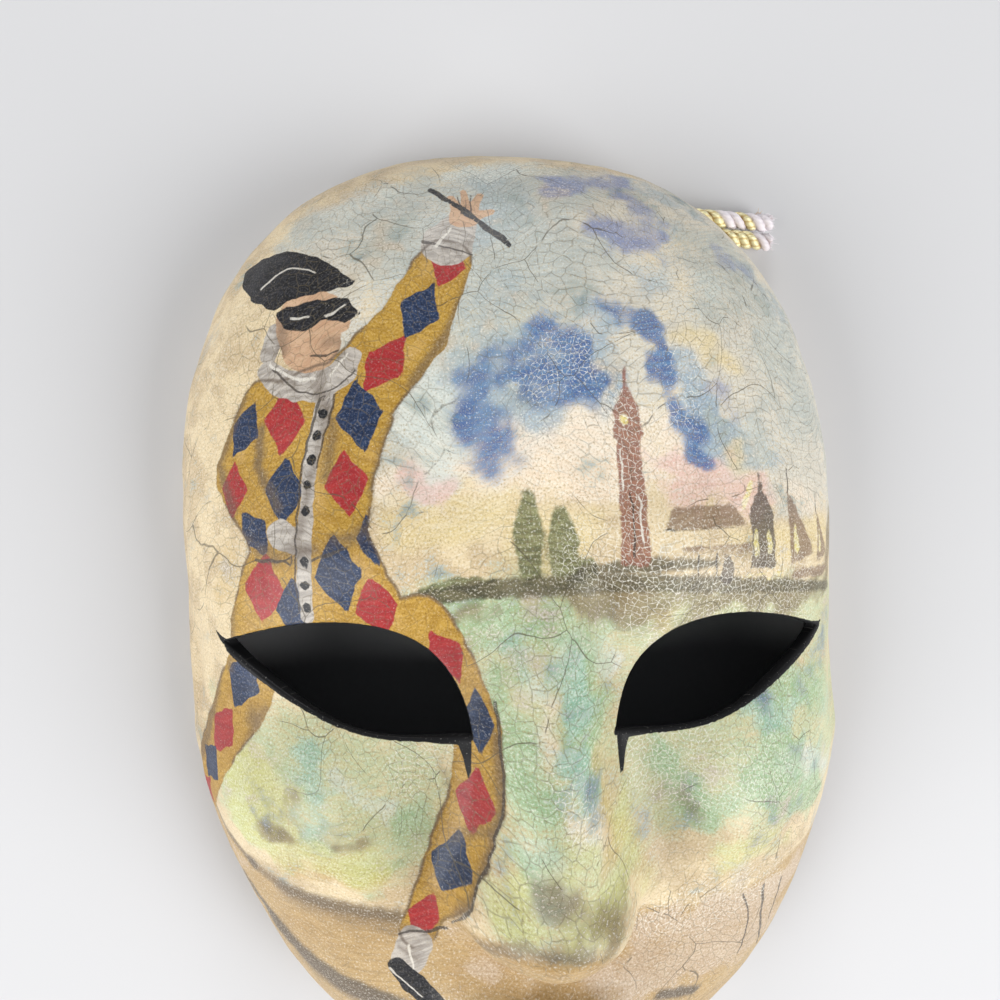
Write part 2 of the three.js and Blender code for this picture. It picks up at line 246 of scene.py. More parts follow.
def skin_point(angle, reach):
    """The outside as the paper was really laid: the plain face with its unevenness and folds."""
    point = face_point(angle, reach)
    normal = normal_of(face_point, angle, reach)
    lift = sum(height * ripple(point, length, seed) for seed, (height, length) in enumerate(UNEVEN))
    y = point[..., 1]
    for x, low, high, height, wide in FOLDS:
        along = smoothstep(low - 8, low + 4, y) * (1 - smoothstep(high - 4, high + 8, y))
        wander = FOLD_WANDER[0] * np.sin(y / FOLD_WANDER[1] + x)
        lift = lift + height * along * bell(point[..., 0] - x - wander, wide)
    fade = 1 - smoothstep(FADE_FROM, 1, reach)
    return point + normal * (lift * fade)[..., None]


def rim_middle():
    x, y, _ = face_point(np.arange(720) * np.pi / 360, np.ones(720)).T
    return np.array([(x.min() + x.max()) / 2, (y.min() + y.max()) / 2, 0])


MIDDLE = rim_middle()


def to_metres(points):
    return (np.asarray(points, float) - MIDDLE) * MM


# Camera

def turned_axes(yaw, pitch, roll):
    """The camera's three axes after its turns about its upright, its sideways and its viewing axis."""
    about_y = [[np.cos(yaw), 0, -np.sin(yaw)], [0, 1, 0], [np.sin(yaw), 0, np.cos(yaw)]]
    about_x = [[1, 0, 0], [0, np.cos(pitch), -np.sin(pitch)], [0, np.sin(pitch), np.cos(pitch)]]
    about_z = [[np.cos(roll), -np.sin(roll), 0], [np.sin(roll), np.cos(roll), 0], [0, 0, 1]]
    return np.array(about_y) @ np.array(about_x) @ np.array(about_z)


def add_object(name, data):
    made = bpy.data.objects.new(name, data)
    scene.collection.objects.link(made)
    return made


def make_camera():
    data = bpy.data.cameras.new("camera")
    data.lens = CAMERA_LENS
    data.sensor_width = SENSOR_WIDTH
    data.clip_start = CLIP_START
    camera = add_object("camera", data)
    place = Matrix(turned_axes(*CAMERA_TURNS).tolist()).to_4x4()
    place.translation = to_metres(CAMERA_PLACE)
    camera.matrix_world = place
    scene.camera = camera


make_camera()


# Node graphs

class Graph:
    """Short ways to add and join the nodes of one material."""

    def __init__(self, name, packs=None):
        self.packs = packs or {}
        self.known = {}
        self.material = bpy.data.materials.new(name)
        self.material.use_nodes = True
        self.tree = self.material.node_tree
        self.tree.nodes.clear()

    def node(self, kind, inputs=None, **settings):
        node = self.tree.nodes.new(kind)
        for name, value in settings.items():
            setattr(node, name, value)
        for name, value in (inputs or {}).items():
            self.put(node.inputs[name], value)
        return node

    def put(self, socket, value):
        if isinstance(value, bpy.types.NodeSocket):
            self.tree.links.new(value, socket)
        elif socket.type == "RGBA":
            socket.default_value = (*value[:3], 1)
        else:
            socket.default_value = value

    def math(self, operation, a, b=0.0, c=0.0):
        return self.node("ShaderNodeMath", {0: a, 1: b, 2: c}, operation=operation).outputs[0]

    def plus(self, a, b):
        return self.math("ADD", a, b)

    def times(self, a, b):
        return self.math("MULTIPLY", a, b)

    def line(self, value, slope, start):
        return self.math("MULTIPLY_ADD", value, slope, start)

    def most(self, a, b):
        return self.math("MAXIMUM", a, b)

    def vector(self, operation, a, b=(0, 0, 0), scale=1.0):
        inputs = {0: a, 3: scale} if operation == "SCALE" else {0: a, 1: b}
        return self.node("ShaderNodeVectorMath", inputs, operation=operation).outputs[0]

    def mix(self, share, a, b, blend="MIX"):
        node = self.node("ShaderNodeMix", data_type="RGBA", blend_type=blend)
        self.put(node.inputs[0], share)
        self.put(node.inputs[6], a)
        self.put(node.inputs[7], b)
        return node.outputs[2]

    def span(self, value, low, high, to_low=0.0, to_high=1.0, kind="SMOOTHSTEP"):
        names = {"Value": value, "From Min": low, "From Max": high, "To Min": to_low, "To Max": to_high}
        return self.node("ShaderNodeMapRange", names, interpolation_type=kind).outputs[0]

    def noise(self, vector, scale, detail=3.0, rough=0.55, colour=False):
        names = {"Vector": vector, "Scale": scale, "Detail": detail, "Roughness": rough}
        node = self.node("ShaderNodeTexNoise", names)
        return node.outputs[1 if colour else 0]

    def place(self, name):
        return self.node("ShaderNodeAttribute", attribute_name=name).outputs["Vector"]

    def parts(self, name):
        if name not in self.known:
            self.known[name] = self.node("ShaderNodeSeparateXYZ", {0: self.place(name)}).outputs
        return self.known[name]

    def value(self, name):
        column, part = self.packs[name]
        return self.parts(column)[part]


# Cord

# Plies of the cord, in millimetres: their number, place, radius, length of one turn and sides of each tube
PLIES = 3
PLY_OFFSET = 1.18
PLY_RADIUS = 1.27
TURN_LENGTH = 9.6
PLY_SIDES = 18
LUMPS = dict(height=0.07, length=1.9)
GROOVES = dict(count=5, depth=0.05, slant=2.4)
# Cut end of a ply: how far back it opens out and narrows, how much it narrows, and how ragged it is
CUT = dict(flare_length=5, length=0.9, narrowing=0.3, ragged=0.12)
# Half of the length over which a ply goes from gold to white, and a length that it is gold all along
GOLD_FADE = 2
ALL_GOLD = 999

# Loose thread ends: radius, rings, taper, bend, height over the floor, and the depth given to them, which
# keeps them clear of the painted shade in the grooves
FIBRE_RADIUS = 0.11
FIBRE_RINGS = 7
FIBRE_TAPER = 0.75
FIBRE_BEND = 0.22
FIBRE_LIFT = 0.1
FIBRE_DEPTH = 3.0
# Tufts of them, at the cut and beside it: scatter of their roots, shortest and longest, and their colour,
# from white (0) to gold (1) and dark gold (2)
CUT_TUFT = dict(scatter=(0.25, 0.95, 0.9), lengths=(0.7, 1.7), gold=0.1)
SIDE_TUFT = dict(scatter=(0.4, 0.4, 0.4), lengths=(1.0, 1.7), gold=2.0)
TUFT_SPREAD = (0.12, 0.2, 0.2)
# Where a tuft starts: how far back from the cut, and for the one beside it the steps back, offset and way
CUT_ROOT = 0.5
SIDE_ROOT = dict(steps=10, offset=(0, 1.3, 0.4), way=(0.25, 0.9, 0.2))

# Colours of the threads, dark to bright: painted shade in the grooves, a middle tone, and a painted
# highlight on the ridges of the threads
WHITE_THREAD_SHADE_TO_HIGHLIGHT = ((0.60, 0.50, 0.50), (0.80, 0.73, 0.78), (0.97, 0.92, 0.95))
GOLD_THREAD_SHADE_TO_HIGHLIGHT = ((0.40, 0.22, 0.04), (0.86, 0.77, 0.40), (0.97, 0.93, 0.62))
# Painted shade in the grooves between the strands of the gold
GOLD_GROOVE_SHADE = (0.56, 0.36, 0.09)
LOOSE_GOLD = (0.58, 0.30, 0.05)

# Steps of a smooth route between two of its points, and of the knot, and the step that picks every fourth
# point of a cord's path.
ROUTE_STEPS = 24
KNOT_STEPS = 160
PATH_STEP = 4


def run_along(line):
    """Length from the start of a line to each of its points."""
    return np.concatenate([[0], np.cumsum(np.linalg.norm(np.diff(line, axis=0), axis=1))])


def smooth_route(points, spacing=0.5):
    """A smooth line through the points, sampled evenly, and its length, in millimetres."""
    points = np.asarray(points, float)
    padded = np.vstack([2 * points[0] - points[1], points, 2 * points[-1] - points[-2]])
    t = np.linspace(0, 1, ROUTE_STEPS, endpoint=False)[:, None]
    fine = []
    for a, b, c, d in zip(padded, padded[1:], padded[2:], padded[3:]):
        second = (2 * a - 5 * b + 4 * c - d) * t ** 2
        third = (3 * b - a - 3 * c + d) * t ** 3
        fine.append(0.5 * (2 * b + (c - a) * t + second + third))
    fine = np.vstack([*fine, points[-1:]])
    run = run_along(fine)
    stops = np.linspace(0, run[-1], max(2, int(run[-1] / spacing)) + 1)
    return np.stack([np.interp(stops, run, fine[:, k]) for k in range(3)], -1), run[-1]


def carried_axes(path):
    """The direction of a path and two axes across it at each point, carried along without twisting."""
    tangents = np.gradient(path, axis=0)
    tangents /= np.linalg.norm(tangents, axis=1, keepdims=True)
    first = np.cross(tangents[0], (0, 0, 1))
    first /= np.linalg.norm(first)
    sides = []
    for tangent in tangents:
        first = first - tangent * (first @ tangent)
        first /= np.linalg.norm(first)
        sides.append(first.copy())
    sides = np.array(sides)
    return tangents, sides, np.cross(tangents, sides)


def ring_points(centre, size, around, sides, ups):
    """Rings of points round a line, of the given sizes."""
    sideways = np.cos(around)[None, :, None] * sides[:, None, :]
    upwards = np.sin(around)[None, :, None] * ups[:, None, :]
    return centre[:, None, :] + size[..., None] * (sideways + upwards)


def tube_faces(rings, sides):
    """Quads along a tube of rings, and one face over each of its ends."""
    faces = []
    for start in range(0, (rings - 1) * sides, sides):
        for k in range(sides):
            n = (k + 1) % sides
            faces.append((start + k, start + n, start + sides + n, start + sides + k))
    return faces + [tuple(range(sides))[::-1], tuple((rings - 1) * sides + k for k in range(sides))]


def ply_tube(path, phase, gold_end, draw=None, flare=0.0):
    """One ply that winds round the path, with the columns of its threads. With draw, its end is cut off."""
    _, sides, ups = carried_axes(path)
    run = run_along(path)
    from_end = run[-1] - run
    angle = phase + run / TURN_LENGTH * 2 * np.pi
    offset = PLY_OFFSET * (1 + flare * (1 - smoothstep(0, CUT["flare_length"], from_end)))
    centre = path + offset[:, None] * (np.cos(angle)[:, None] * sides + np.sin(angle)[:, None] * ups)
    around = np.linspace(0, 2 * np.pi, PLY_SIDES, endpoint=False)
    lumps = 1 + LUMPS["height"] * np.sin(run / LUMPS["length"] + phase * 3)
    slant = GROOVES["count"] * around[None, :] + run[:, None] * GROOVES["slant"]
    ring = PLY_RADIUS * lumps[:, None] * (1 + GROOVES["depth"] * np.cos(slant))
    if draw:
        ring = ring * (1 - CUT["narrowing"] * (1 - smoothstep(0, CUT["length"], from_end)))[:, None]
    tangents, sides, ups = carried_axes(centre)
    points = ring_points(centre, ring, around, sides, ups)
    if draw:
        points[-1] += tangents[-1] * draw.uniform(-CUT["ragged"], CUT["ragged"], PLY_SIDES)[:, None]
    gold = 1 - smoothstep(gold_end - GOLD_FADE, gold_end + GOLD_FADE, run)
    columns = (run[:, None], around[None, :], gold[:, None])
    threads = np.stack([np.broadcast_to(column, ring.shape) for column in columns], -1)
    # Distance from the cord's middle: the material paints shade in the grooves where it is small
    depth = np.linalg.norm(points - path[:, None, :], axis=-1)
    return points.reshape(-1, 3), tube_faces(len(path), PLY_SIDES), threads.reshape(-1, 3), depth.ravel()


def fibre(start, direction, length, draw):
    """A loose thread end: a thin curved tube with four sides, pointed at its tip."""
    t = np.linspace(0, 1, FIBRE_RINGS)[:, None]
    bend = draw.normal(size=3) * FIBRE_BEND * length
    line = start + direction * length * t + bend * t ** 2
    line[:, 2] = np.maximum(line[:, 2], FIBRE_RADIUS + FIBRE_LIFT)
    _, sides, ups = carried_axes(line)
    points = ring_points(line, FIBRE_RADIUS * (1 - FIBRE_TAPER * t), np.arange(4) * np.pi / 2, sides, ups)
    return points.reshape(-1, 3), tube_faces(FIBRE_RINGS, 4)


def mesh_piece(name, points, faces, columns):
    """An object from points in millimetres, with named columns of numbers kept on its points."""
    data = bpy.data.meshes.new(name)
    data.from_pydata(to_metres(points).tolist(), [], faces)
    for label, values in columns.items():
        values = np.asarray(values, np.float32)
        kind, field = ("FLOAT_VECTOR", "vector") if values.ndim == 2 else ("FLOAT", "value")
        data.attributes.new(label, kind, "POINT").data.foreach_set(field, values.ravel())
    data.shade_smooth()
    return add_object(name, data)


def dress(piece, node, material):
    piece.data.materials.append(material)
    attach(piece, "root")
    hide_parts(node)


def cord_material():
    g = Graph("twisted_cord")
    run, around, gold = g.parts("threads")
    depth = g.node("ShaderNodeAttribute", attribute_name="depth").outputs["Fac"]
    place = g.node("ShaderNodeTexCoord").outputs["Object"]
    slant = g.plus(g.times(around, 3.0), g.times(run, 4.2))
    strand = g.line(g.math("SINE", slant), 0.5, 0.5)
    fine = g.line(g.math("SINE", g.times(slant, 5.0)), 0.5, 0.5)
    patch = g.noise(place, 420, 2)
    share = g.span(g.plus(gold, g.line(patch, 0.9, -0.45)), 0.25, 0.75)
    # Painted shade in the grooves between the plies, where the surface lies near the cord's middle
    clear_of_groove_shade = g.span(g.line(patch, 0.5, depth), 2.0, 2.6)
    # Each thread colour runs from its painted shade to a painted highlight on the ridges of its threads
    white = g.mix(clear_of_groove_shade, WHITE_THREAD_SHADE_TO_HIGHLIGHT[0], g.mix(fine, WHITE_THREAD_SHADE_TO_HIGHLIGHT[1], WHITE_THREAD_SHADE_TO_HIGHLIGHT[2]))
    lit_gold = g.mix(fine, GOLD_THREAD_SHADE_TO_HIGHLIGHT[1], GOLD_THREAD_SHADE_TO_HIGHLIGHT[2])
    # Painted shade in the grooves between the gold strands
    lit_gold = g.mix(g.span(strand, 0.4, 0, 0, 0.6), lit_gold, GOLD_GROOVE_SHADE)
    colour = g.mix(share, white, g.mix(clear_of_groove_shade, GOLD_THREAD_SHADE_TO_HIGHLIGHT[0], lit_gold))
    colour = g.mix(g.span(gold, 1.2, 1.8), colour, LOOSE_GOLD)
    relief = g.plus(strand, g.times(fine, 0.35))
    bump = g.node("ShaderNodeBump", {"Strength": 0.55, "Distance": 0.00025, "Height": relief})
    shader = g.node("ShaderNodeBsdfPrincipled", {
        "Base Color": colour, "Roughness": 0.42, "Metallic": g.times(share, 0.35),
        "Sheen Weight": 0.25, "Sheen Roughness": 0.4, "Normal": bump.outputs[0]})
    g.node("ShaderNodeOutputMaterial", {"Surface": shader.outputs[0]})
    return g.material


CORD = cord_material()


class Strands:
    """Plies and loose threads that are gathered into one piece of cord."""

    def __init__(self):
        self.points, self.faces, self.threads, self.depths = [], [], [], []

    def add(self, points, faces, threads, depths):
        start = sum(map(len, self.points))
        self.faces += [tuple(start + k for k in face) for face in faces]
        self.points.append(points)
        self.threads.append(threads)
        self.depths.append(depths)

    def add_plies(self, path, phase, gold_ends, draw=None, flare=0.0):
        for ply, gold_end in enumerate(gold_ends):
            self.add(*ply_tube(path, ply * 2 * np.pi / PLIES + phase, gold_end, draw, flare))

    def add_tuft(self, root, way, draw, scatter, lengths, gold):
        start = root + draw.normal(size=3) * scatter
        direction = way + draw.normal(size=3) * TUFT_SPREAD
        points, faces = fibre(start, direction, draw.uniform(*lengths), draw)
        threads = np.tile((0.0, 0.0, gold), (len(points), 1))
        self.add(points, faces, threads, np.full(len(points), FIBRE_DEPTH))

    def make(self, name, node):
        columns = {"threads": np.vstack(self.threads), "depth": np.concatenate(self.depths)}
        piece = mesh_piece(name, np.vstack(self.points), self.faces, columns)
        dress(piece, node, CORD)
        return piece


def make_cord(name, node, route, gold_ends, seed, far_end, fibres=0, stray=0, flare=0.0):
    draw = np.random.default_rng(seed) if fibres else None
    path, length = smooth_route(route)
    strands = Strands()
    strands.add_plies(path, seed, gold_ends, draw, flare)
    tangent = path[-1] - path[-2]
    tangent /= np.linalg.norm(tangent)
    for _ in range(fibres):
        strands.add_tuft(path[-1] - tangent * CUT_ROOT, tangent, draw, **CUT_TUFT)
    for _ in range(stray):
        root = path[-SIDE_ROOT["steps"]] + SIDE_ROOT["offset"]
        strands.add_tuft(root, np.array(SIDE_ROOT["way"]), draw, **SIDE_TUFT)
    piece = strands.make(name, node)
    stated = path[::PATH_STEP]
    if len(path) % PATH_STEP != 1:
        stated = np.vstack([stated, path[-1:]])


def make_knot():
    """The doubled cord's overhand knot, as a three-lobed winding that fills the solid's ball."""
    t = np.linspace(0, 2 * np.pi, KNOT_STEPS)
    x, y, z = np.sin(t) + 2 * np.sin(2 * t), np.cos(t) - 2 * np.cos(2 * t), -1.15 * np.sin(3 * t)
    path = np.stack([x, y, z], -1) / 3 * (KNOT["radius"] - CORD_RADIUS) + KNOT["centre"]
    strands = Strands()
    strands.add_plies(path, 0, [ALL_GOLD] * PLIES)
    strands.make("twisted_cord_knot", "cord_knot")


FRAYED = dict(far_end="bare", fibres=80, flare=0.15)
make_cord("twisted_cord_upper_end", "cord_tail_upper", TAIL_UPPER, (20, 19.5, 31), 1, stray=26, **FRAYED)
make_cord("twisted_cord_lower_end", "cord_tail_lower", TAIL_LOWER, (28, 33, 31), 2, **FRAYED)
make_cord("twisted_cord_loop", "cord_loop", LOOP, [ALL_GOLD] * PLIES, 3, far_end="object")
make_knot()


# Mesh of the shell: two sheets of cells, cut by the openings, with rounded edges between them

OUTER_CELLS = 288
INNER_CELLS = 96
CELL_BIAS = 1.12
CELL_SIDES = ((0, 1), (1, 2), (2, 3), (3, 0))
# Width that the sheets leave to the edges of an eye opening and of the cord hole
EYE_BAND = 3.2
HOLE_MARGIN = 0.8
# Distance given to points that are nowhere near an opening, and to those along the rim and in the cord hole
FAR = 50.0
CLEAR_OF_LIDS = 5
# Rounds of halving that find where a cell's side is cut
HALVINGS = 22
# Height of the outside over the floor at the rim, and its rounding there: inset and height of each ring
RIM_LIFT = 0.75
RIM_ROUNDING = ((0.2, 0.25), (0.75, 0.0))
# Rounding of the cord hole: the share of its width and the way inwards of each ring
HOLE_ROUNDING = ((0.9, 0.5), (0.87, 1.2))
# Edge of an eye opening: radius and turns of its rounding, rings beside it as offsets in plan, outside and
# inside, and rings down the wall as shares of its depth
EDGE_RADIUS = 0.85
EDGE_TURNS = np.radians((0, 22.5, 45, 67.5, 90))
OUTER_OFFSETS = (2.5, 1.8, 1.25)
INNER_OFFSETS = (0.8, 1.9)
WALL_SHARES = (0.2, 0.45, 0.7, 0.9, 1.0)
# Distance past the opening's edge that is stated down the wall, with its growth, and on the inside
WALL_LID = -0.6
WALL_LID_GROWTH = 2
INNER_LID = -4
# Fan of directions at a sharp corner of an outline: how sharp the corner is, and how many there are
SHARP_TURN = np.radians(35)
FAN_STEPS = 9


def disc_place(a, b):
    """Square cells laid over the round dome: a and b run from -1 to 1."""
    sideways = np.abs(a) > np.abs(b)
    radius = np.where(sideways, a, b)
    with np.errstate(divide="ignore", invalid="ignore"):
        turn = np.where(sideways, np.pi / 4 * b / a, np.pi / 2 - np.pi / 4 * a / b)
    turn = np.where(radius == 0, 0, turn)
    return np.where(radius < 0, turn + np.pi, turn), np.abs(radius) ** CELL_BIAS


def bezier(a, b, c, d, steps):
    t = np.linspace(0, 1, steps, endpoint=False)[:, None]
    a, b, c, d = map(np.asarray, (a, b, c, d))
    return (1 - t) ** 3 * a + 3 * (1 - t) ** 2 * t * b + 3 * (1 - t) * t ** 2 * c + t ** 3 * d


def eye_outline(side):
    """The opening's outline in plan, anticlockwise, for the eye on the given side."""
    start = EYE_CORNER
    rows = []
    for first, second, end in EYE_CURVES:
        rows.append(bezier(start, first, second, end, EYE_STEPS))
        start = end
    points = np.vstack(rows) * (side, 1)
    c, s = np.cos(FACE_TURN), np.sin(FACE_TURN)
    points = points @ np.array([[c, s], [-s, c]])
    return points if side > 0 else points[::-1]


def polygon_distance(points, polygon):
    """Distance to a closed outline, negative inside."""
    polygon = np.asarray(polygon, float)
    nearest = np.full(points.shape[:-1], np.inf)
    inside = np.zeros(points.shape[:-1], bool)
    for a, b in zip(polygon, np.roll(polygon, -1, 0)):
        edge = b - a
        rel = points - a
        t = np.clip(rel @ edge / (edge @ edge), 0, 1)
        nearest = np.minimum(nearest, ((rel - t[..., None] * edge) ** 2).sum(-1))
        crosses = (a[1] > points[..., 1]) != (b[1] > points[..., 1])
        with np.errstate(divide="ignore", invalid="ignore"):
            at = edge[0] * rel[..., 1] / edge[1] + a[0]
        inside ^= crosses & (points[..., 0] < at)
    return np.sqrt(nearest) * np.where(inside, -1, 1)


OUTLINES = {side: eye_outline(side) for side in (-1, 1)}


def eye_distance(angle, reach):
    plan = dome_point(angle, reach)[..., :2]
    distance = np.full(plan.shape[:-1], FAR)
    wide, middle, tall = EYE_REGION
    near = (np.abs(plan[..., 0]) < wide) & (np.abs(plan[..., 1] - middle) < tall)
    distance[near] = np.minimum(*(polygon_distance(plan[near], OUTLINES[side]) for side in (-1, 1)))
    return distance


def hole_distance(point):
    """Distance to the cord hole's wall, negative inside, for points near that end of the rim."""
    rel = point - np.array(HOLE["centre"])
    across = rel[..., 1] * np.cos(HOLE["turn"]) - rel[..., 0] * np.sin(HOLE["turn"])
    beyond = np.maximum(np.abs(across) - HOLE["half_span"], 0)
    distance = np.hypot(beyond, rel[..., 2]) - HOLE["radius"]
    return np.where((rel[..., 0] > HOLE["near_x"]) & (rel[..., 2] < HOLE["near_z"]), distance, FAR)


class Skin:
    """The shell's points, faces and the columns that its material reads."""

    def __init__(self):
        self.rows = {"point": [], "angle": [], "reach": [], "lid": [], "inner": []}
        self.faces = []
        self.count = 0

    def add(self, point, angle, reach, lid, inner):
        point = np.reshape(point, (-1, 3))
        size = len(point)
        for name, value in (("angle", angle), ("reach", reach), ("lid", lid), ("inner", inner)):
            self.rows[name].append(np.broadcast_to(np.ravel(value), (size,)).astype(float))
        self.rows["point"].append(point)
        self.count += size
        return np.arange(self.count - size, self.count)

    def face(self, corners, flip=False):
        self.faces.append(tuple(int(k) for k in (corners[::-1] if flip else corners)))

    def points(self):
        return np.vstack(self.rows["point"])

    def column(self, name):
        return np.concatenate(self.rows[name])


def inner_point(angle, reach):
    surface = lambda a, r: face_point(a, r, True)
    point = surface(angle, reach) - WALL * normal_of(surface, angle, reach)
    point[..., 2] = np.maximum(point[..., 2], 0.05)
    return point


def cell_corners(grid):
    """The values of a grid at the four corners of each of its cells."""
    return np.stack([grid[:-1, :-1], grid[1:, :-1], grid[1:, 1:], grid[:-1, 1:]], -1).reshape(-1, 4)


def closed_loops(following):
    """Closed loops of points, from the point that follows each."""
    loops = []
    while following:
        loop = [next(iter(following))]
        while (step := following.pop(loop[-1])) != loop[0]:
            loop.append(step)
        loops.append(loop)
    return loops


def sheet(skin, cells, surface, edge_z, inner):
    """A sheet of cells with the openings left out. Gives its rim, the eyes' loops and the hole's loop."""
    line = np.linspace(-1, 1, cells + 1)
    a, b = np.meshgrid(line, line, indexing="ij")
    angle, reach = disc_place(a, b)
    points = surface(angle, reach)
    for side in (points[0], points[-1], points[:, 0], points[:, -1]):
        side[:, 2] = edge_z

    def cuts(a, b):
        angle, reach = disc_place(a, b)
        return eye_distance(angle, reach) - EYE_BAND, hole_distance(surface(angle, reach)) - HOLE_MARGIN

    eye, hole = cuts(a, b)
    keep = np.minimum(eye, hole) > 0
    index = np.full(a.shape, -1)
    index[keep] = skin.add(points[keep], angle[keep], reach[keep], eye[keep] + EYE_BAND, inner)
    kept = cell_corners(keep)
    for quad in cell_corners(index)[kept.all(1)]:
        skin.face(quad[[0, 3, 2, 1]] if inner else quad)

    mixed = kept.any(1) & ~kept.all(1)
    places = np.stack([cell_corners(a)[mixed], cell_corners(b)[mixed]], -1)
    numbers = cell_corners(np.arange(a.size).reshape(a.shape))[mixed]
    flags, known = kept[mixed], cell_corners(index)[mixed]

    def cut_side(cell, k, n):
        """The corners of a cell's cut side, the kept one first."""
        return (k, n) if flags[cell, k] else (n, k)

    edges = {}
    for cell in range(len(flags)):
        for k, n in CELL_SIDES:
            if flags[cell, k] != flags[cell, n]:
                side = list(cut_side(cell, k, n))
                edges[tuple(numbers[cell, side])] = places[cell, side]
    ends = np.array(list(edges.values()))
    low, high = np.zeros(len(ends)), np.ones(len(ends))

    def along(share):
        return (ends[:, 0] + (ends[:, 1] - ends[:, 0]) * share[:, None]).T

    for _ in range(HALVINGS):
        middle = (low + high) / 2
        positive = np.minimum(*cuts(*along(middle))) > 0
        low, high = np.where(positive, middle, low), np.where(positive, high, middle)
    angle, reach = disc_place(*along(low))
    eye, hole = cuts(*along(low))
    new = skin.add(surface(angle, reach), angle, reach, eye + EYE_BAND, inner)
    new_at = dict(zip(edges, new.tolist()))
    is_eye = dict(zip(new.tolist(), (eye < hole).tolist()))

    following = {}
    for cell in range(len(flags)):
        face = []
        for k, n in CELL_SIDES:
            if flags[cell, k]:
                face.append(known[cell, k])
            if flags[cell, k] != flags[cell, n]:
                face.append(new_at[tuple(numbers[cell, list(cut_side(cell, k, n))])])
                if flags[cell, k]:
                    out = face[-1]
                else:
                    into = face[-1]
        following[out] = into
        skin.face(face, flip=inner)
    rim = np.concatenate([index[:-1, 0], index[-1, :-1], index[:0:-1, -1], index[0, :0:-1]])
    loops = closed_loops(following)
    eyes = [loop for loop in loops if is_eye[loop[0]]]
    return rim, eyes, next(loop for loop in loops if not is_eye[loop[0]])


def strips(skin, rings, flip=False):
    """Quads between closed rings of as many points, from each ring to the next."""
    for first, second in zip(rings, rings[1:]):
        for k in range(len(first)):
            n = (k + 1) % len(first)
            skin.face((first[k], first[n], second[n], second[k]), flip)


def stitch(skin, first, first_at, second, second_at):
    """Triangles between two closed rings, each with its points' places round the ring from 0 to 1."""
    a, b = np.argsort(first_at), np.argsort(second_at)
    ring_a, at_a = np.asarray(first)[a], np.asarray(first_at)[a]
    ring_b, at_b = np.asarray(second)[b], np.asarray(second_at)[b]
    at_a, at_b = np.append(at_a, at_a[0] + 1), np.append(at_b, at_b[0] + 1)
    i = j = 0
    while i < len(ring_a) or j < len(ring_b):
        if j >= len(ring_b) or (i < len(ring_a) and at_a[i + 1] <= at_b[j + 1]):
            skin.face((ring_a[i], ring_a[(i + 1) % len(ring_a)], ring_b[j % len(ring_b)]))
            i += 1
        else:
            skin.face((ring_a[i % len(ring_a)], ring_b[(j + 1) % len(ring_b)], ring_b[j]))
            j += 1


def ring_place(points, ring):
    """How far round a closed ring each point lies, from 0 to 1, counted in the ring's own points."""
    best = np.full(len(points), np.inf)
    place = np.zeros(len(points))
    for k, (a, b) in enumerate(zip(ring, np.roll(ring, -1, 0))):
        edge = b - a
        t = np.clip((points - a) @ edge / max(edge @ edge, 1e-12), 0, 1)
        gap = ((points - a - t[:, None] * edge) ** 2).sum(1)
        nearer = gap < best
        best = np.where(nearer, gap, best)
        place = np.where(nearer, (k + t) / len(ring), place)
    return place % 1


def fanned_outline(outline):
    """Outline points with their outward directions, with a fan of directions at each sharp corner."""
    before = outline - np.roll(outline, 1, 0)
    after = np.roll(outline, -1, 0) - outline
    turn = lambda v: np.stack([v[:, 1], -v[:, 0]], -1) / np.linalg.norm(v, axis=1, keepdims=True)
    first, second = turn(before), turn(after)
    spots, ways = [], []
    for spot, one, two in zip(outline, first, second):
        start, end = np.arctan2(one[1], one[0]), np.arctan2(two[1], two[0])
        swing = (end - start + np.pi) % (2 * np.pi) - np.pi
        steps = FAN_STEPS if abs(swing) > SHARP_TURN else 1
        for k in range(steps):
            way = start + swing * ((k / (steps - 1)) if steps > 1 else 0.5)
            spots.append(spot)
            ways.append((np.cos(way), np.sin(way)))
    return np.array(spots), np.array(ways)


def below_skin(angle, reach, depth=EDGE_RADIUS):
    return skin_point(angle, reach) - normal_of(face_point, angle, reach) * depth


def eye_edges(skin, side, outer_loop, inner_loop):
    """The rounded rim of one eye, from the outer sheet over the edge and down to the inner sheet."""
    spots, ways = fanned_outline(OUTLINES[side])
    rings = []

    def ring(offset, surface, lid, inner=0):
        plan = spots + ways * offset
        angle, reach = place_over(plan[:, 0], plan[:, 1])
        rings.append(skin.add(surface(angle, reach), angle, reach, lid, inner))

    for offset in OUTER_OFFSETS:
        ring(offset, skin_point, offset)
    for turn in EDGE_TURNS:
        depth = EDGE_RADIUS * (1 - np.cos(turn))
        rounded = lambda angle, reach: below_skin(angle, reach, depth)
        ring(EDGE_RADIUS * (1 - np.sin(turn)), rounded, EDGE_RADIUS * (1 - turn))
    for share in WALL_SHARES:
        def between(angle, reach):
            top = below_skin(angle, reach)
            return top + (inner_point(angle, reach) - top) * share
        ring(0, between, WALL_LID - WALL_LID_GROWTH * share)
    for offset in INNER_OFFSETS:
        ring(offset, inner_point, INNER_LID, 1)
    strips(skin, rings)
    angles, reaches = skin.column("angle"), skin.column("reach")

    def around(loop, offset):
        plan = dome_point(angles[loop], reaches[loop])[:, :2]
        return ring_place(plan, spots + ways * offset)

    steps = np.arange(len(spots)) / len(spots)
    stitch(skin, outer_loop, around(outer_loop, OUTER_OFFSETS[0]), rings[0], steps)
    stitch(skin, rings[-1], steps, inner_loop, around(inner_loop, INNER_OFFSETS[-1]))


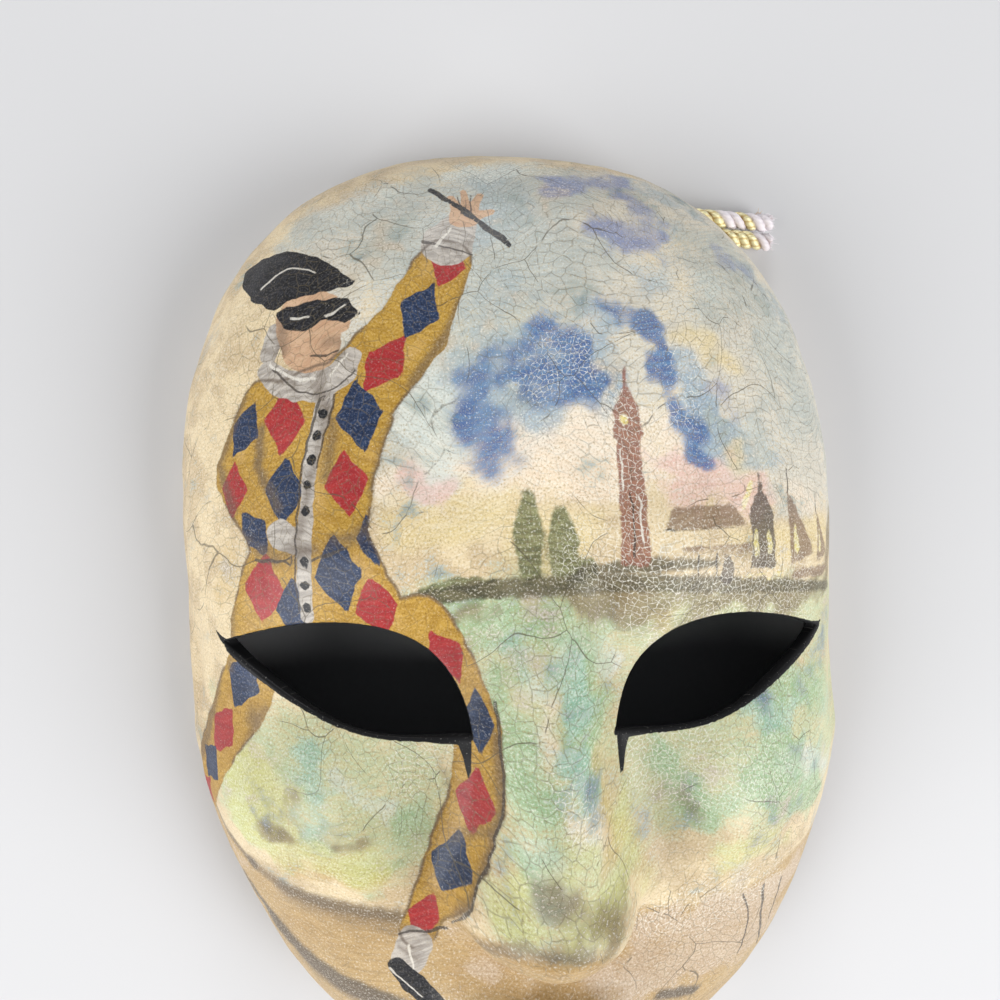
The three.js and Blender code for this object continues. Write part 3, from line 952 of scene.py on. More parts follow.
def hole_edges(skin, outer_loop, inner_loop):
    """The wall of the cord hole, slightly rounded at its outer edge."""
    points, angles, reaches = skin.points(), skin.column("angle"), skin.column("reach")
    centre = np.array(HOLE["centre"])

    def around(loop):
        rel = points[loop] - centre
        return (np.arctan2(rel[:, 2], rel[:, 1]) / (2 * np.pi)) % 1

    outer, inner = (np.asarray(loop)[np.argsort(around(loop))] for loop in (outer_loop, inner_loop))
    rings = [outer]
    for share, inwards in HOLE_ROUNDING:
        spots = centre + (points[outer] - centre) * (1, share, share) - (inwards, 0, 0)
        rings.append(skin.add(spots, angles[outer], reaches[outer], CLEAR_OF_LIDS, 0))
    strips(skin, rings, flip=True)
    stitch(skin, inner, around(inner), rings[-1], around(outer))


def rim_edge(skin, outer, inner):
    """The flat foot of the rim, with its outer corner rounded."""
    points, angles, reaches = skin.points(), skin.column("angle"), skin.column("reach")
    ratio = len(outer) // len(inner)
    inward = np.repeat(points[inner], ratio, 0)
    following = np.repeat(points[np.roll(inner, -1)], ratio, 0)
    share = np.tile(np.arange(ratio) / ratio, len(inner))[:, None]
    direction = inward + (following - inward) * share - points[outer]
    direction[:, 2] = 0
    direction /= np.linalg.norm(direction, axis=1, keepdims=True)
    rings = [outer]
    for inset, height in RIM_ROUNDING:
        spots = points[outer] + direction * inset
        spots[:, 2] = height
        rings.append(skin.add(spots, angles[outer], reaches[outer], CLEAR_OF_LIDS, 0))
    strips(skin, rings, flip=True)
    last = rings[-1]
    middle = ratio // 2 + 1
    for k, here in enumerate(inner):
        there = inner[(k + 1) % len(inner)]
        run = [last[(k * ratio + i) % len(last)] for i in range(ratio + 1)]
        for i in range(ratio):
            skin.face((run[i + 1], run[i], here if i < middle else there))
        skin.face((run[middle], here, there))


def on_side(loops, side):
    """The loop that lies on the given side of the face."""
    points = skin.points()
    return next(loop for loop in loops if np.sign(points[loop][:, 0].mean()) == side)


skin = Skin()
outer_rim, outer_eyes, outer_hole = sheet(skin, OUTER_CELLS, skin_point, RIM_LIFT, 0)
inner_rim, inner_eyes, inner_hole = sheet(skin, INNER_CELLS, inner_point, 0.0, 1)
for side in (-1, 1):
    eye_edges(skin, side, on_side(outer_eyes, side), on_side(inner_eyes, side))
hole_edges(skin, outer_hole, inner_hole)
rim_edge(skin, outer_rim, inner_rim)


# Picture: a flat map of the outside, in millimetres measured along the paper from the top of the dome

def paper_place(angle, reach, steps=40):
    length = np.zeros_like(reach)
    before = dome_point(angle, reach * 0)
    for k in range(1, steps + 1):
        here = dome_point(angle, reach * (k / steps))
        length += np.linalg.norm(here - before, axis=-1)
        before = here
    top = np.array([0, WIDEST_Y, DOME_DEPTH])
    away = dome_point(angle, np.maximum(reach, 1e-3)) - top
    way = np.arctan2(away[..., 1], away[..., 0])
    return np.stack([length * np.cos(way), length * np.sin(way) + WIDEST_Y], -1)


def line_distance(points, rows):
    """Distance to a round-ended line of (x, y, radius) rows, negative inside."""
    rows = np.asarray(rows, float)
    rows = np.vstack([rows, rows]) if len(rows) == 1 else rows
    best = np.full(len(points), np.inf)
    for a, b in zip(rows, rows[1:]):
        edge = b[:2] - a[:2]
        t = np.clip((points - a[:2]) @ edge / max(edge @ edge, 1e-9), 0, 1)
        gap = np.linalg.norm(points - a[:2] - t[:, None] * edge, axis=1) - (a[2] + (b[2] - a[2]) * t)
        best = np.minimum(best, gap)
    return best


def area_distance(points, parts):
    """Distance to the nearest of some closed outlines of (x, y) and lines of (x, y, radius)."""
    measures = {2: polygon_distance, 3: line_distance}
    return np.minimum.reduce([measures[len(part[0])](points, part) for part in parts])


def lozenge_distance(points, x, y, lean, half_width, half_height):
    """Distance to a lozenge whose long axis leans to the right by some degrees."""
    c, s = np.cos(np.radians(lean)), np.sin(np.radians(lean))
    rel = points - (x, y)
    across = np.abs(rel[:, 0] * c - rel[:, 1] * s) / half_width
    along = np.abs(rel[:, 0] * s + rel[:, 1] * c) / half_height
    return (across + along - 1.05) * half_width * half_height / np.hypot(half_width, half_height)


# Patches of random mottling: points of the lattice along a side, sizes in millimetres and shares of each
LATTICE = 89
PATCH_SIZES = (13, 6, 3, 1.6)
PATCH_SHARES = (0.34, 0.28, 0.22, 0.16)

# Washes of thin paint: each stroke's strength and reach, then the points that it runs through
WASHES = {
    "haze": [
        (1, 22, (58, 100), (86, 64), (94, 30)), (1, 34, (-34, 84), (-6, 96), (30, 86), (62, 66)),
        (1, 30, (-14, 56), (20, 60), (66, 44)), (0.9, 20, (-50, 100), (40, 112)),
    ],
    "meadow": [
        (1, 26, (0, 6), (0, -38)), (1, 32, (30, -22), (80, -24)), (1, 28, (-70, -26), (-34, -28)),
        (1, 15, (24, 6), (84, 2)),
    ],
    "cyan": [
        (0.6, 16, (66, 84), (88, 44)), (0.6, 14, (-8, 108), (16, 113)), (1, 20, (-28, 44), (-20, 92)),
        (1, 22, (-12, 74), (2, 108)), (0.7, 16, (-52, 101), (-22, 108), (8, 112)),
        (0.7, 15, (4, 76), (14, 90)), (0.7, 18, (50, 90), (66, 66)), (0.7, 16, (34, 100), (54, 96)),
        (0.8, 13, (50, 46), (70, 54)), (0.8, 17, (-12, 42), (0, 92)), (0.5, 12, (40, 76), (48, 84)),
    ],
    "mist_and_sheen": [
        # The first stroke paints a highlight on the top of the crown
        (0.8, 7, (-16, 117), (4, 121)), (0.8, 6, (6, 4), (14, 0)), (0.7, 6, (-5, -30), (-2, -40)),
        (0.7, 8, (60, -30), (78, -37)), (0.7, 6, (-44, -24), (-34, -30)), (0.9, 9, (-22, 38), (-19, 55)),
        (0.7, 8, (-27, 52), (-20, 70)), (0.5, 8, (-46, 104), (-30, 112)), (0.5, 7, (26, 86), (44, 84)),
    ],
    "light_blue": [
        (0.5, 9, (-4, 106), (12, 112)), (1, 13, (-13, 60), (-9, 44)), (1, 12, (-4, 66), (14, 58)),
        (0.8, 8, (33, 62), (39, 48)), (0.9, 9, (-14, 95), (-3, 101)), (0.7, 7, (-9, 112), (-2, 119)),
        (0.7, 8, (41, 46), (55, 43)), (0.7, 10, (-17, 68), (-4, 80)), (0.5, 9, (58, 93), (70, 83)),
        (0.6, 9, (28, 84), (36, 98)), (0.6, 9, (-18, 46), (-14, 60)), (0.4, 8, (30, 118), (46, 108)),
        (0.7, 9, (0, 50), (16, 72)), (0.5, 6, (34, 56), (40, 46)),
    ],
    "blue": [
        (1, 8, (3, 70), (9, 66), (10, 60)), (0.8, 8, (0, 60), (8, 56)), (0.75, 8.5, (-14, 56), (-9, 42)),
        (0.65, 9, (-10, 62), (-1, 66)), (1, 5.5, (27, 71), (29, 60), (32, 51), (37, 42)),
        (0.6, 5, (19, 75), (24, 72)),
    ],
    "violet": [
        (1, 9, (19, 97), (30, 95)), (0.8, 7, (27, 107), (32, 102)), (0.9, 7, (10, 112), (28, 116)),
        (0.6, 7, (50, 94), (60, 91)), (0.4, 6, (41, 58), (46, 50)),
    ],
    "yellow": [
        (1, 11, (-27, 30), (-8, 32), (2, 24)), (0.6, 6, (34, 71), (46, 64)), (1, 8, (47, 23), (78, 22)),
        (0.6, 5, (9, 24), (12, 30)), (0.7, 6, (46, 40), (52, 30)), (0.5, 7, (-20, -30), (-10, -40)),
    ],
    "peach": [
        (0.65, 6, (-3, -4), (-2, -14)), (0.5, 5, (4, -28), (10, -34)),
        (1, 13, (-26, 36), (-5, 42), (15, 40), (28, 42)), (0.8, 9, (10, 48), (28, 49)),
        (0.5, 8, (62, 34), (74, 30)),
    ],
    "pink": [(0.9, 6, (-28, 39), (-21, 36)), (1, 10, (34, 37), (50, 33)), (0.7, 6, (26, 42), (40, 38))],
    "green": [
        (0.9, 9, (-22, 11), (-12, 8)), (0.6, 8, (-6, 8), (10, 7)), (0.85, 9, (-10, -5), (-7, -22)),
        (0.8, 8, (9, 0), (7, -16)), (0.65, 7, (-3, -26), (-6, -36)), (0.9, 7, (25, -22), (32, -34)),
        (0.8, 7, (36, -34), (56, -28)), (1, 9, (50, -30), (70, -42)), (0.8, 7, (53, -22), (60, -27)),
        (0.4, 9, (-62, -20), (-38, -28)), (0.7, 7, (-40, -48), (-28, -32)), (0.7, 9, (58, -12), (76, -18)),
        (0.6, 8, (44, -22), (56, -38)), (0.6, 6, (22, 8), (32, 10)),
    ],
    "turquoise": [
        (0.7, 7, (-51, -20), (-49, -37)), (0.5, 4, (-3, -40), (-5, -46)), (0.5, 8, (72, -32), (82, -20)),
        (0.8, 6, (4, -2), (6, -8)), (0.8, 5, (3, -18), (7, -24)), (0.5, 6, (-8, 4), (-4, -4)),
        (0.6, 7, (40, -16), (60, -18)),
    ],
    "lime": [
        (0.9, 10, (-76, -26), (-58, -30)), (0.9, 9, (-68, -38), (-40, -43)),
        (0.7, 6, (-73, -40), (-60, -46)), (0.75, 9, (2, -34), (6, -44)), (0.7, 7, (-9, -42), (9, -44)),
        (0.6, 8, (14, -30), (21, -48)), (0.5, 8, (40, -45), (62, -49)), (0.7, 5, (-11, -36), (-8, -47)),
    ],
    "ochre": [
        (0.8, 5, (-60, -46), (-38, -46)), (0.8, 7, (9, -20), (12, -36)), (0.6, 7, (-4, -46), (6, -50)),
        (0.6, 5, (18, 12), (27, 7)), (0.6, 7, (-60, -63), (-44, -66)), (0.4, 8, (-72, 22), (-76, 6)),
        (0.5, 5, (38, -8), (39, -9)),
    ],
    "umber": [
        (1, 6, (8, 13), (34, 11.5)), (0.6, 8, (18, 9), (32, 8)), (1, 5.5, (34, 11), (58, 9.5)),
        (0.55, 7, (-4, -50), (8, -52)), (0.6, 8, (-2, -40), (8, -45)), (0.5, 3, (-20, 9), (-12, 10)),
        (0.8, 6, (58, 8), (82, 10)), (0.9, 7, (82, 14), (88, 28)), (0.4, 4, (25, -30), (33, -35)),
        (0.6, 4, (-66, -40), (-57, -38)), (0.6, 4, (-44, -37), (-33, -40)),
        (0.4, 4, (-56, -30), (-46, -34)), (0.5, 4, (-26, -16), (-19, -24)), (0.4, 5, (26, 21), (48, 20)),
    ],
    "rose_grey": [
        (0.9, 9, (21, -64), (42, -63), (66, -64)), (0.8, 14, (14, -74), (58, -76)),
        (0.6, 7, (-20, -56), (-14, -68)), (0.5, 5, (-80, -55), (-60, -57)), (0.5, 6, (-6, -66), (8, -67)),
    ],
    "shade": [
        (0.6, 2.4, (-88, -44), (-79, -49.5), (-70, -52.6)),
        (0.5, 3.6, (-70, -52.8), (-52, -54.5), (-33, -55.5)), (0.4, 6.5, (-60, -56), (-34, -58)),
        (0.8, 2.6, (-77, -62), (-68, -69)), (0.9, 5, (-67, -70.5), (-57, -76.5), (-46, -80), (-34, -82)),
        (0.6, 8, (-56, -79), (-38, -84)), (0.9, 3, (27, -83), (37, -87)),
        # The last stroke is painted shade along the lower edge of the nose tip
        (0.5, 2.5, (-16, -52), (-9, -47.5), (4, -49)),
    ],
    "crackled": [
        (1, 48, (-5, 88), (30, 70), (62, 60)), (1, 24, (0, 20), (0, -42)), (1, 26, (40, 15), (62, -40)),
        (0.9, 24, (30, -62), (54, -84)), (0.85, 40, (-50, 70), (-56, 24)),
        (0.75, 26, (-60, 10), (-14, -40)), (0.7, 30, (-100, 60), (-100, -20)),
        (0.6, 30, (-40, 104), (40, 118)), (0.6, 30, (-50, -90), (40, -100)),
    ],
    "frosted_and_sheen": [
        # The first stroke lays pale cracks under the painted highlight on the top of the crown
        (1, 9, (-14, 116), (6, 121)), (0.9, 8, (-24, -16), (-30, -24)), (0.75, 12, (0, 60), (8, 66)),
        (1, 11, (10, 22), (36, 20), (64, 14)), (1, 13, (24, 10), (64, 2)),
        (1, 13, (22, -20), (34, -26), (50, -28)), (1, 9, (19, 50), (20, 24)), (1, 10, (24, -60), (56, -60)),
        (0.8, 9, (-2, -18), (6, -30)), (0.8, 9, (32, 52), (34, 64)), (0.6, 7, (-46, 4), (-24, -20)),
    ],
}

# Brown age and handling on top of the paint, as washes are, along the edge of the shell and over the lower
# face and the crown.
# The strokes along and under the nose, round the right eye and over the lower left cheek are painted shade.
PATINA_AND_SHADE = [
    (
        0.8, 26, (-96, -40), (-108, 0), (-112, 40), (-100, 90), (-70, 130), (0, 148), (70, 132), (104, 88),
        (114, 30), (108, -30), (96, -60),
    ),
    (0.5, 12, (13, 8), (18, -30), (17, -46)), (0.5, 10, (-12, 4), (-16, -40)),
    (0.45, 14, (30, -6), (60, -2)), (0.9, 12, (-8, -56), (10, -58)), (0.8, 12, (-14, -68), (20, -70)),
    (0.5, 16, (-98, -20), (-92, -60)), (0.35, 16, (-70, -60), (-20, -64)), (0.3, 20, (20, -72), (70, -66)),
    (0.35, 20, (10, 110), (60, 96)), (0.6, 20, (-70, -20), (-32, -42)),
]

# Figure in a suit of lozenges: outlines of (x, y) and round-ended limbs of (x, y, radius)
AREAS = {
    "suit": [
        [
            (-58, 61), (-61, 50), (-60, 36), (-63, 27), (-67, 20), (-72, 8), (-73, -4), (-26, -3), (-26, 8),
            (-32, 20), (-36, 28), (-34, 40), (-30, 52), (-33, 61), (-40, 66), (-50, 64),
        ],
        [(-60, 56, 7.2), (-68.5, 42, 6.6), (-60, 28.5, 5)],
        [(-39, 57, 9.5), (-26, 71, 8.2), (-18.5, 87, 6.2)],
        [(-64, 0, 7), (-70, -10, 8.4), (-78, -21, 7), (-85, -32, 6.4), (-91, -43, 5.6)],
        [
            (-26, 8, 7), (-19.5, 0, 5), (-14.3, -13, 4.6), (-15, -26, 5.2), (-19.5, -38, 5.6),
            (-25, -51, 4.8), (-29, -60, 3.8),
        ],
    ],
    "linen": [
        [(-59, 65, 2.8), (-56, 62, 3.1), (-51, 60, 3.3), (-46, 60, 3.3), (-41, 62.5, 3), (-39, 66, 2.4)],
        [(-44.5, 58, 1.8), (-48.5, 44, 1.7), (-50, 28, 1.7), (-50.5, 10, 1.6)],
        [(-17.6, 92, 6), (-15.8, 95.5, 5)], [(-57.5, 74, 2.6), (-59, 69, 2.4)],
        [(-29.5, -62, 4), (-31.5, -68, 3.6)], [(-56, 28, 3.4), (-53, 26.5, 2.6)],
    ],
    "skin": [
        [(-49.6, 76, 8), (-48.4, 70, 7)], [(-41.4, 74, 2.2)], [(-13.6, 100, 3.4), (-12.4, 102.5, 2.6)],
        [(-15, 102, 1.3), (-16.6, 106.5, 0.9)], [(-13.2, 103, 1.3), (-13.4, 108.4, 0.9)],
        [(-11, 102.6, 1.2), (-9.6, 107.4, 0.8)], [(-10.8, 100, 1.2), (-7, 101.6, 0.8)],
    ],
    "jet": [
        [
            (-59, 80), (-66, 85), (-71.5, 92), (-72, 97), (-66, 98.5), (-57, 97), (-48, 92.5), (-41, 86.5),
            (-38, 83.5), (-44, 82.5), (-52, 82),
        ],
        [
            (-58, 79.5), (-48, 80.5), (-40, 80), (-37, 76), (-40.5, 74), (-45, 75.5), (-50, 73),
            (-55.5, 74.5),
        ],
        [(-33.5, -69.5, 2.6), (-30, -74, 3.4), (-25, -78, 2.8), (-20, -80, 1.6)],
        [(-21.5, 110, 0.7), (-4, 92, 0.9)],
    ],
    "leaf": [
        [(-2.5, 19, 2.2), (-2.8, 28, 3), (-2.2, 35, 1)], [(4.5, 18, 2.6), (4.6, 25, 3.2), (4.2, 31, 1.2)],
        [(9, 18.5, 2.6)], [(-24, 14.5, 1.8), (-17, 16, 2.2), (-10, 15.5, 1.9)],
    ],
    "horizon": [
        [
            (-28, 13.5, 1), (-14, 15.5, 1.6), (0, 15.8, 1.7), (20, 15.6, 1.6), (45, 13.6, 1.3),
            (60, 12, 1.1), (84, 8.6, 0.8),
        ],
        [(8, 18.5, 0.9), (22, 19.4, 1.1), (38, 18.8, 0.5)],
    ],
    "brick": [
        [(16.6, 19), (23, 19), (22.3, 47), (17.3, 47)],
        [(16.6, 46.5), (23.2, 46.5), (22.8, 53), (17.1, 53)], [(19.9, 53, 2.7), (19.9, 55.5, 1.5)],
        [(19.9, 56, 0.7), (20, 62, 0.25)],
    ],
    "roof": [
        [(26, 26.5), (29, 31), (43, 31.4), (47, 27), (36, 26.4)],
        [(30, 22.6), (48, 22.4), (48, 20.8), (30, 21)], [(61, 17), (60.4, 35), (71.5, 19)],
        [(74, 17), (73.6, 30), (81, 18)], [(60, 15.6), (82, 14.6), (78, 12.4), (62, 13.4)],
    ],
    "chapel": [
        [(47.8, 17), (55.6, 16.6), (55, 29), (48.4, 29.4)], [(51.7, 29, 3.7), (51.7, 31.5, 2.4)],
        [(51.7, 33, 0.9), (51.7, 38, 0.4)], [(41, 16, 1.9), (41, 19.5, 1.2)],
    ],
    "lamp": [
        [(19, 50, 1), (19, 51, 0.9)], [(49.4, 20, 0.8), (49.5, 25.5, 0.8)],
        [(53.6, 20, 0.7), (53.4, 25, 0.7)], [(63.5, 20, 1.1), (63, 26, 0.6)],
        [(75.6, 19.5, 0.8), (75.4, 24, 0.5)], [(46.5, 31, 0.8), (49, 36, 0.7)],
        [(45, 15.2, 0.5), (58, 14.6, 0.7)],
    ],
    "sand": [
        [
            (-110, -38), (-86, -47), (-72, -51.5), (-50, -54), (-30, -55), (-20, -52), (-12, -48.5),
            (-7, -48), (6, -50), (13, -55), (24, -58), (45, -59.5), (60, -56), (80, -57), (110, -62),
            (70, -160), (-70, -160),
        ],
    ],
}
# Lozenges of the suit: place, lean in degrees and half-sizes, in red and in blue
LOZENGES = {
    "red": [
        (-54.5, 53, 6, 5.1, 7.6), (-40.5, 38.5, -6, 4.9, 7.2), (-61, 16, 8, 5.4, 8.2),
        (-34.5, 12, -10, 4.6, 7.2), (-68.8, 38.5, 2, 4, 6.6), (-31.5, 64, 36, 4.6, 7.2),
        (-17.6, 86.5, 20, 4, 6), (-77.5, -20, 32, 4.9, 7.4), (-91, -43, 34, 4.2, 6.6),
        (-20.6, 1.5, -30, 3.8, 6.4), (-15.6, -27.5, 8, 3.8, 6.8), (-27, -55, 22, 3.8, 6.4),
    ],
    "blue": [
        (-37.2, 53, -6, 5.2, 7.8), (-55, 37.5, 4, 4.9, 7.4), (-42.4, 19.5, -8, 5.2, 8.2),
        (-53.6, 11.5, 4, 4.8, 7.4), (-65.4, 52, 28, 4.3, 6.8), (-62.8, 28.5, -34, 3.9, 6),
        (-24, 75.5, 28, 4.6, 7), (-69, -6, 24, 5.2, 7.8), (-84.6, -31.5, 32, 4.6, 7),
        (-14.2, -12, -4, 3.4, 6.4), (-20.8, -41, 20, 4.4, 7), (-35, 26.5, -10, 3.2, 6),
    ],
}
# Soft modelling of the suit and head, and lighter paint on it: strength, reach and points
FOLDS_OF_SUIT = [
    (0.9, 2, (-60.5, 52), (-61.5, 43), (-56.5, 34)), (1, 1.8, (-66, 27), (-58, 23), (-50, 24)),
    (0.9, 1.8, (-50, 24.5), (-40, 27), (-34, 30)), (0.8, 2.4, (-66, 60), (-74, 45), (-69, 34)),
    (0.9, 2, (-30, 51), (-33.5, 40), (-35, 28)), (0.7, 2.2, (-71, 12), (-73.5, -4)),
    (0.7, 2, (-47, 60), (-43, 50), (-45, 40)), (0.8, 2, (-26, 59), (-18, 70), (-12, 84)),
    (0.6, 1.6, (-44, 56), (-52, 26)), (0.8, 2.4, (-79, -8), (-86, -24), (-96, -40)),
    (0.6, 2.4, (-62, -12), (-70, -24), (-80, -40)),
    (0.9, 1.8, (-10.5, -14), (-10.5, -27), (-15, -42), (-23, -58)), (0.6, 1.5, (-20, -36), (-13, -32)),
    (0.7, 1.4, (-42, 66), (-40.5, 71)), (0.7, 2.6, (-56, 77), (-55.5, 69)),
    (0.5, 2, (-45, 69.5), (-42.5, 70)), (0.6, 1.6, (-33, -58), (-25, -60)),
    (0.7, 1.3, (-52, 60), (-53, 64)), (0.6, 1.2, (-45, 58), (-46, 63)), (0.6, 1.2, (-18, 90.5), (-12, 92)),
    (0.6, 1.2, (-57.5, 68), (-60.5, 71)), (0.7, 1.2, (-33, -64), (-29, -66)),
    (0.7, 4, (-66, -14), (-66, -15)),
]
GLINTS_OF_SUIT = [
    (1, 2, (-66, 56), (-66.5, 46)), (0.9, 2.6, (-47, 46), (-46.5, 34)), (0.8, 2, (-38, 22), (-30, 8)),
    (0.9, 2, (-32, 60), (-24, 68)), (0.7, 2.4, (-60, 24), (-66, 12)), (0.6, 2.4, (-36, 46), (-34.5, 44)),
    (0.7, 2, (-74, -12), (-81, -26)), (0.8, 1.8, (-17, -28), (-24, -47)), (0.7, 1.6, (-23, 84), (-20, 91)),
    (0.9, 2, (-64, 96), (-52, 93)), (0.7, 1.4, (-50, 68), (-46, 67)),
]
# Thin strokes of dark paint and of pale paint (chalk): half-width, then the points
INK = [
    (0.28, (-47.5, 67.2), (-44.6, 66.6), (-42.8, 67.4)),
    (0.25, (-57, 64.5), (-53.5, 61), (-49, 58.4), (-44, 58.6), (-39, 62)),
    (0.3, (-46, 56.5), (-50.4, 43), (-52, 28), (-52.4, 12)), (0.25, (-42.6, 57.5), (-46.8, 43)),
    (0.2, (-14.3, 102), (-15, 106)), (0.2, (-12.1, 102), (-11.6, 106.4)),
    (0.35, (-62, 22.5), (-52.5, 21.8)), (0.35, (-47.6, 22.6), (-36, 26.4)), (0.4, (-23, -58), (-32.4, -60)),
    (0.3, (-10.6, -8), (-10.2, -14), (-10.4, -27), (-14.2, -39), (-20.8, -55)),
    (0.3, (-22.6, 93), (-13, 89)), (0.3, (47, -60.5), (50.5, -69), (49.6, -80)),
    (0.42, (53.6, -61), (55.4, -72), (58, -84)), (0.3, (61, -63), (59.8, -75)),
    (0.25, (24.4, 26.2), (48.5, 26.2)), (0.22, (61, 35), (61, 38.5)), (0.22, (73.6, 30), (73.6, 33)),
    (0.22, (19.4, 22), (19.7, 34)), (0.22, (33.5, 20), (33.5, 17)), (0.22, (38, 20), (38, 17)),
]
BUTTON_RADIUS = 1.15
BUTTONS = [
    (-45.3, 54), (-46.8, 49), (-48.2, 44), (-49.1, 38.5), (-49.7, 33), (-50, 22), (-50.2, 17), (-50.4, 12),
]
CHALK = [
    (0.3, (-63, 88), (-56, 91), (-49, 88.5)), (0.35, (-58, 66), (-53, 62.6), (-48, 61.6)),
    (0.3, (-43, 62.5), (-40.4, 66)), (0.3, (-30.6, -64), (-30, -68.5)), (0.35, (-19.5, 92), (-17, 96)),
    (0.3, (-44, 76.5), (-41, 77.8)), (0.3, (-53, 76.8), (-50, 76.4)), (0.25, (-35, -71), (-29, -76.5)),
    (0.25, (21.4, 25), (21.2, 33)), (0.22, (18, 36), (18.2, 43)),
]
# Black tails at the corners of the openings, as lines of (x, y, radius)
TAILS = [
    [(-74.4, 2.1, 1.0), (-76.6, 3.1, 0.55), (-79, 4.9, 0.15)],
    [(-17.2, -15, 1.3), (-17.1, -17, 1.25), (-16.7, -19.4, 0.75), (-16.4, -23.4, 0.2)],
    [(-17.6, -15.2, 1.7), (-22, -15.6, 1.3), (-28, -15.4, 0.8)],
    [(74.6, -0.8, 1.0), (76.4, -0.4, 0.5), (78.4, 0.4, 0.15)],
    [(16.6, -15.6, 1.3), (16.6, -17.6, 1.25), (16.2, -20, 0.75), (15.7, -24.6, 0.2)],
    [(17, -15.8, 1.7), (21.4, -16.2, 1.3), (28, -16, 0.8)],
]
# Width of the black band on the outside of an opening, above it, below it, and more of it at the outer end
BAND = dict(upper=0.35, lower=1.1, outer=0.2, soft=1.5, outer_from=40, outer_to=68)


def band_distance(plan, lid):
    """Distance to the black band round the openings, negative on it."""
    x, y = np.abs(plan[:, 0]), plan[:, 1]
    inner_x, inner_y = EYE_CURVES[1][2]
    slope = (EYE_CORNER[1] - inner_y) / (EYE_CORNER[0] - inner_x)
    below = smoothstep(BAND["soft"], -BAND["soft"], y - inner_y - (x - inner_x) * slope)
    outer = smoothstep(BAND["outer_from"], BAND["outer_to"], x)
    return lid - (BAND["upper"] + (BAND["lower"] - BAND["upper"] + BAND["outer"] * outer) * below)


def mottle(points, cell, seed):
    """Smooth random patches from 0 to 1, each about one cell of the given size across."""
    lattice = np.random.default_rng(seed).random((LATTICE, LATTICE))
    turn = np.radians(37 * seed)
    turned = points @ np.array([[np.cos(turn), np.sin(turn)], [-np.sin(turn), np.cos(turn)]])
    place = turned / cell
    base = np.floor(place).astype(int)
    part = smoothstep(0, 1, place - base)
    pick = lambda i, j: lattice[(base[:, 0] + i) % LATTICE, (base[:, 1] + j) % LATTICE]
    near = pick(0, 0) + (pick(1, 0) - pick(0, 0)) * part[:, 0]
    far = pick(0, 1) + (pick(1, 1) - pick(0, 1)) * part[:, 0]
    return near + (far - near) * part[:, 1]


def patches(points, seed):
    """Patches of several sizes over one another, from about 0 to 1."""
    layers = enumerate(zip(PATCH_SIZES, PATCH_SHARES))
    total = sum(share * mottle(points, size, seed + k) for k, (size, share) in layers)
    return 0.5 + (total - 0.5) * 1.9


def wash(points, strokes):
    """How much of a wash lies at each point: strokes with soft ends, laid over one another."""
    bare = np.ones(len(points))
    for strength, reach, *line in strokes:
        gap = line_distance(points, [(*spot, 0) for spot in line])
        bare *= 1 - min(strength, 1) * (1 - smoothstep(0.15, 1, gap / reach))
    return 1 - bare


def stroke_columns(points, strokes, taper):
    """For thin strokes: distance across the nearest, signed by its side, plain distance, and half-width."""
    best = np.full(len(points), np.inf)
    across, half = np.full(len(points), 9.0), np.zeros(len(points))
    for wide, *line in strokes:
        widths = wide * np.linspace(1, taper, len(line))
        rows, _ = smooth_route(np.column_stack([line, widths]), 1.5)
        for a, b in zip(rows, rows[1:]):
            edge = b[:2] - a[:2]
            rel = points - a[:2]
            t = np.clip(rel @ edge / (edge @ edge), 0, 1)
            gap = np.linalg.norm(rel - t[:, None] * edge, axis=1)
            nearer = gap < best
            best = np.where(nearer, gap, best)
            aside = (edge[0] * rel[:, 1] - edge[1] * rel[:, 0]) / np.linalg.norm(edge)
            across = np.where(nearer, aside, across)
            half = np.where(nearer, a[2] + (b[2] - a[2]) * t, half)
    return np.column_stack([across, best, half])


def drift(points, seed, length, size):
    """Points moved about a little, as an unsteady brush does."""
    return points + size * np.stack([ripple(points, length, seed), ripple(points, length, seed + 1)], -1)


def picture_columns(paper):
    """Everything that the painted surface's material reads, as one number or three a point."""
    # Soft washes are laid with a loose hand, and the figure and the landscape with a steady one
    loose = drift(drift(paper, 20, 9, 1.8), 22, 3.6, 0.7)
    steady = drift(paper, 24, 5, 0.35)
    made = {name: wash(steady if name == "shade" else loose, strokes) for name, strokes in WASHES.items()}
    made["folds"] = wash(steady, FOLDS_OF_SUIT)
    made["glints"] = wash(steady, GLINTS_OF_SUIT)
    made.update({name: area_distance(steady, parts) for name, parts in AREAS.items()})
    patched = drift(steady, 26, 7, 0.3)
    for name, rows in LOZENGES.items():
        made["lozenge_" + name] = np.minimum.reduce([lozenge_distance(patched, *row) for row in rows])
    made["buttons"] = area_distance(steady, [[(x, y, BUTTON_RADIUS)] for x, y in BUTTONS])
    made["ink"] = stroke_columns(steady, INK, 0.6)
    made["chalk"] = stroke_columns(steady, CHALK, 0.6)
    made["tails"] = area_distance(paper, TAILS)
    swirl = drift(drift(paper, 30, 42, 5), 32, 17, 1.4) - paper
    made["swirl"] = np.column_stack([swirl, patches(drift(paper, 34, 8, 1), 40)])
    made["other"] = patches(drift(paper, 36, 8, 1), 50)
    made["patina_and_shade"] = wash(loose, PATINA_AND_SHADE)
    return made


def packed(columns):
    """The columns with single numbers gathered in threes, and the column and part that each went to."""
    single = [name for name, values in columns.items() if values.ndim == 1]
    made = {name: values for name, values in columns.items() if values.ndim == 2}
    for k in range(0, len(single), 3):
        three = [columns[name] for name in single[k:k + 3]]
        made[f"mixed_{k // 3}"] = np.column_stack(three + [three[0]] * (3 - len(three)))
    return made, {name: (f"mixed_{k // 3}", k % 3) for k, name in enumerate(single)}


